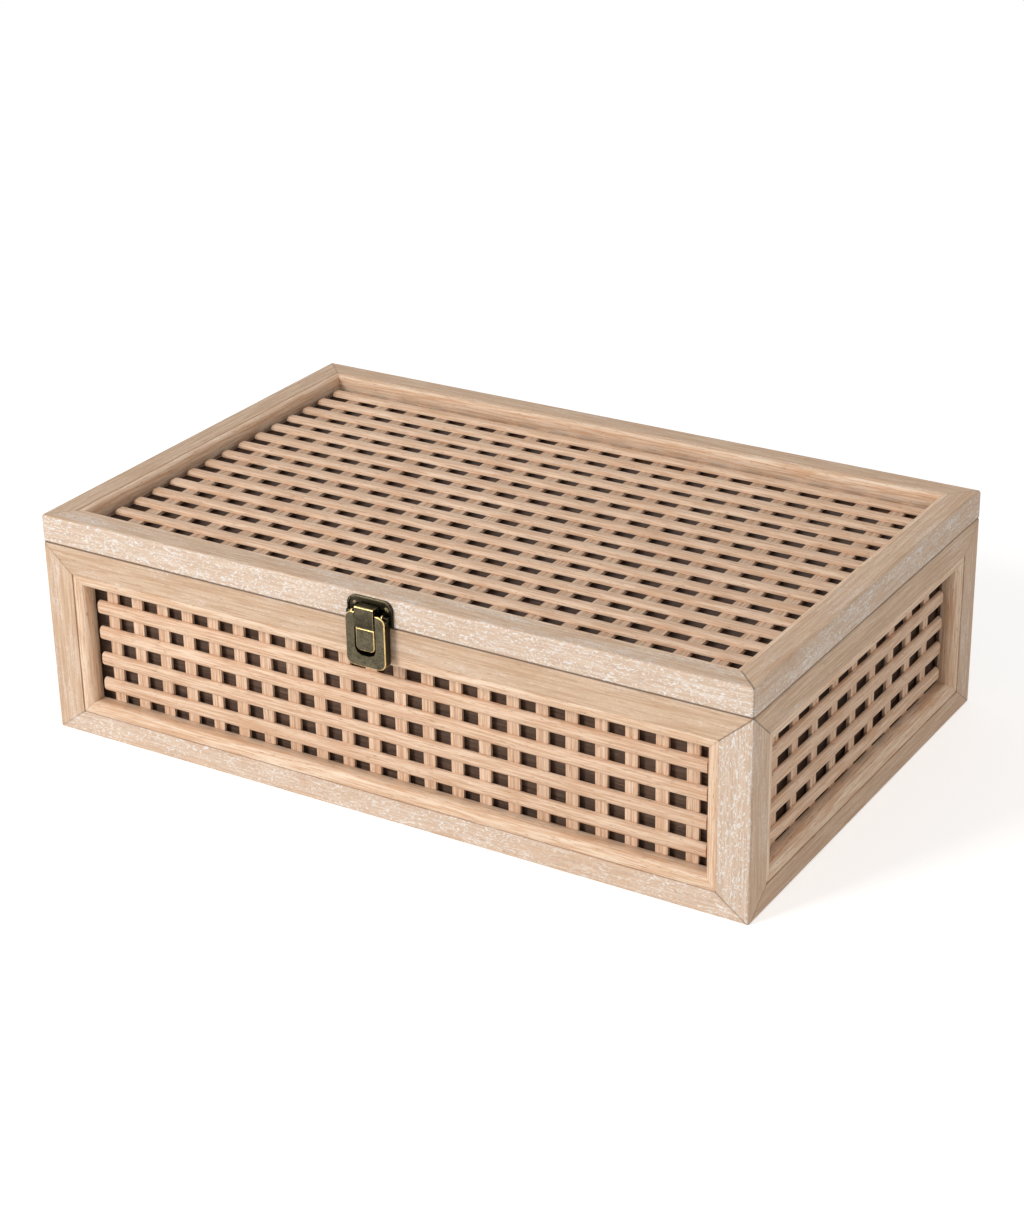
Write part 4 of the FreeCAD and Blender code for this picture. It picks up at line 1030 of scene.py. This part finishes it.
class KEEPSAKE_OT_fasteners(bpy.types.Operator):
    """Make the hinges' screws and the latch's nails"""

    bl_idname = "keepsake.fasteners"
    bl_label = "Screws and nails"

    def execute(self, context):
        brass = context.scene.keepsake_brass
        for level in ("lower", "upper"):
            self.row("hinge_%s_screws" % level, -90, SCREW, brass.slot_width, brass.screw_spacing)
        for plate in ("catch", "base"):
            self.row("latch_%s_nails" % plate, 90, NAIL, 0.0, 0.0)
        return {"FINISHED"}

    def row(self, source, tilt, head, slot_width, spacing):
        """Fasteners side by side, tilted about X so that their heads look to the back or to the front."""
        low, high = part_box(source)
        radius, height, shank_radius = head
        seat = high.y - height if tilt < 0 else low.y + height
        ends = [low.x + radius, high.x - radius]
        if spacing:
            ends = [ends[0], ends[0] + spacing, ends[1] - spacing, ends[1]]
        seats = bpy.data.meshes.new(source)
        seats.from_pydata([(x, seat, (low.z + high.z) / 2) for x in ends], [], [])
        shape = fastener_shape(source + "_one", *head, high.y - low.y - height, slot_width)
        tree = bpy.data.node_groups.get("fastener_row") or fastener_tree()
        piece = run_tree(tree, seats, source + "_metal", {
            "Fastener": shape, "Facing": (math.radians(tilt), 0, 0), "Seed": len(source),
            "Material": finish("antique_brass")})
        bpy.data.meshes.remove(shape.data)
        hand_over(piece, source, "antique_brass")


# Where the camera stands: from ten corners of the box in the photograph.
CAMERA_PLACE = Matrix(((0.856154, -0.207006, 0.473444, 0.616594), (0.516488, 0.370337, -0.772069, -1.007997),
                       (-0.015511, 0.905538, 0.423982, 0.607569), (0, 0, 0, 1)))
LAMP_AIM = Vector((0, 0, 0.05))
KEY_LAMP, FILL_LAMP = (0.7, (-0.95, -2.0, 1.3)), (1.6, (1.9, -0.7, 1.1))  # size and place
FLOOR_REACH = 8
FLOOR_FADE = (0.3, 0.75)  # the floor turns white between these distances from the middle
FLOOR_LIFT = 0.56  # light added to the floor near the box, so that its shadow is faint


class KEEPSAKE_OT_stage(bpy.types.Operator):
    """Set up the camera, the pale floor and the soft light"""

    bl_idname = "keepsake.stage"
    bl_label = "Stage"

    def execute(self, context):
        look = context.scene.keepsake_stage
        self.camera(context.scene, look)
        self.floor(look)
        self.room(context.scene, look)
        self.lamp("key_light", look.key_light, *KEY_LAMP)
        self.lamp("fill_light", look.fill_light, *FILL_LAMP)
        context.scene.view_settings.view_transform = "Standard"
        return {"FINISHED"}

    def camera(self, scene, look):
        data = bpy.data.cameras.new("camera")
        data.lens = look.lens
        data.sensor_width = 36
        data.clip_end = 50
        scene.camera = placed("camera", data)
        scene.camera.matrix_world = CAMERA_PLACE

    def floor(self, look):
        """A pale floor that takes the box's shadow near it and fades to white further off."""
        mesh = bpy.data.meshes.new("floor")
        corners = [(x * FLOOR_REACH, y * FLOOR_REACH, 0) for x, y in ((-1, -1), (1, -1), (1, 1), (-1, 1))]
        mesh.from_pydata(corners, [], [(0, 1, 2, 3)])
        material, tree, surface = new_material("pale_floor", 0, 0.9)
        surface.inputs["Base Color"].default_value = tuple(look.floor) + (1,)
        surface.inputs["Specular IOR Level"].default_value = 0.1
        spot = node(tree, "ShaderNodeTexCoord").outputs["Object"]
        reach = node(tree, "ShaderNodeVectorMath", {0: spot}, operation="LENGTH").outputs["Value"]
        bright, white = (put(tree, "ShaderNodeEmission", {"Color": (1, 1, 1, 1), "Strength": strength})
                         for strength in (FLOOR_LIFT, 1.0))
        lifted = put(tree, "ShaderNodeAddShader", {0: surface.outputs[0], 1: bright})
        shown = put(tree, "ShaderNodeMixShader", {0: step(tree, reach, *FLOOR_FADE), 1: lifted, 2: white})
        mixed = put(tree, "ShaderNodeMixShader", {0: seen_rays(tree), 1: surface.outputs[0], 2: shown})
        tree.links.new(mixed, tree.nodes["Material Output"].inputs["Surface"])
        mesh.materials.append(material)
        placed("floor", mesh)

    def room(self, scene, look):
        """Even light from all round, seen as white where nothing else is."""
        world = scene.world or bpy.data.worlds.new("room")
        scene.world = world
        world.use_nodes = True
        tree = world.node_tree
        even = tree.nodes["Background"]
        even.inputs["Color"].default_value = (1, 1, 1, 1)
        even.inputs["Strength"].default_value = look.room_light
        if look.white_backdrop:
            white = put(tree, "ShaderNodeBackground", {"Color": (1, 1, 1, 1), "Strength": 1.0})
            mixed = put(tree, "ShaderNodeMixShader", {0: seen_rays(tree), 1: even.outputs[0], 2: white})
            tree.links.new(mixed, tree.nodes["World Output"].inputs["Surface"])

    def lamp(self, name, watts, size, spot):
        """A square lamp that looks at the box."""
        data = bpy.data.lights.new(name, "AREA")
        data.energy = watts
        data.size = size
        turn = (LAMP_AIM - Vector(spot)).to_track_quat("-Z", "Y").to_matrix().to_4x4()
        placed(name, data).matrix_world = Matrix.Translation(spot) @ turn


def seen_rays(tree):
    """One for rays that show a surface: from the camera, in gloss and through glass."""
    path = node(tree, "ShaderNodeLightPath").outputs
    gloss = maths(tree, "MAXIMUM", path["Is Camera Ray"], path["Is Glossy Ray"])
    return maths(tree, "MAXIMUM", gloss, path["Is Transmission Ray"])


MAKERS = (KEEPSAKE_OT_frames, KEEPSAKE_OT_beads, KEEPSAKE_OT_wall_slats, KEEPSAKE_OT_wall_uprights,
          KEEPSAKE_OT_lid_lattice, KEEPSAKE_OT_boards, KEEPSAKE_OT_hinges, KEEPSAKE_OT_latch,
          KEEPSAKE_OT_fasteners, KEEPSAKE_OT_stage)


class KEEPSAKE_PT_panel(bpy.types.Panel):
    """Sizes, colours and the operators that make the box."""

    bl_idname = "KEEPSAKE_PT_panel"
    bl_label = "Keepsake Box"
    bl_space_type = "VIEW_3D"
    bl_region_type = "UI"
    bl_category = "Keepsake Box"

    def draw(self, context):
        layout = self.layout
        for name, group in GROUPS.items():
            box = layout.box()
            box.label(text=group.__doc__)
            for prop in group.__annotations__:
                box.prop(getattr(context.scene, name), prop)
        for maker in MAKERS:
            layout.operator(maker.bl_idname)


CLASSES = tuple(GROUPS.values()) + MAKERS + (KEEPSAKE_PT_panel,)


def register():
    for item in CLASSES:
        bpy.utils.register_class(item)
    for name, group in GROUPS.items():
        setattr(bpy.types.Scene, name, PointerProperty(type=group))


def unregister():
    for name in GROUPS:
        delattr(bpy.types.Scene, name)
    for item in reversed(CLASSES):
        bpy.utils.unregister_class(item)


def main():
    register()
    for maker in MAKERS:
        group, name = maker.bl_idname.split(".")
        getattr(getattr(bpy.ops, group), name)()


if __name__ == "__main__":
    main()
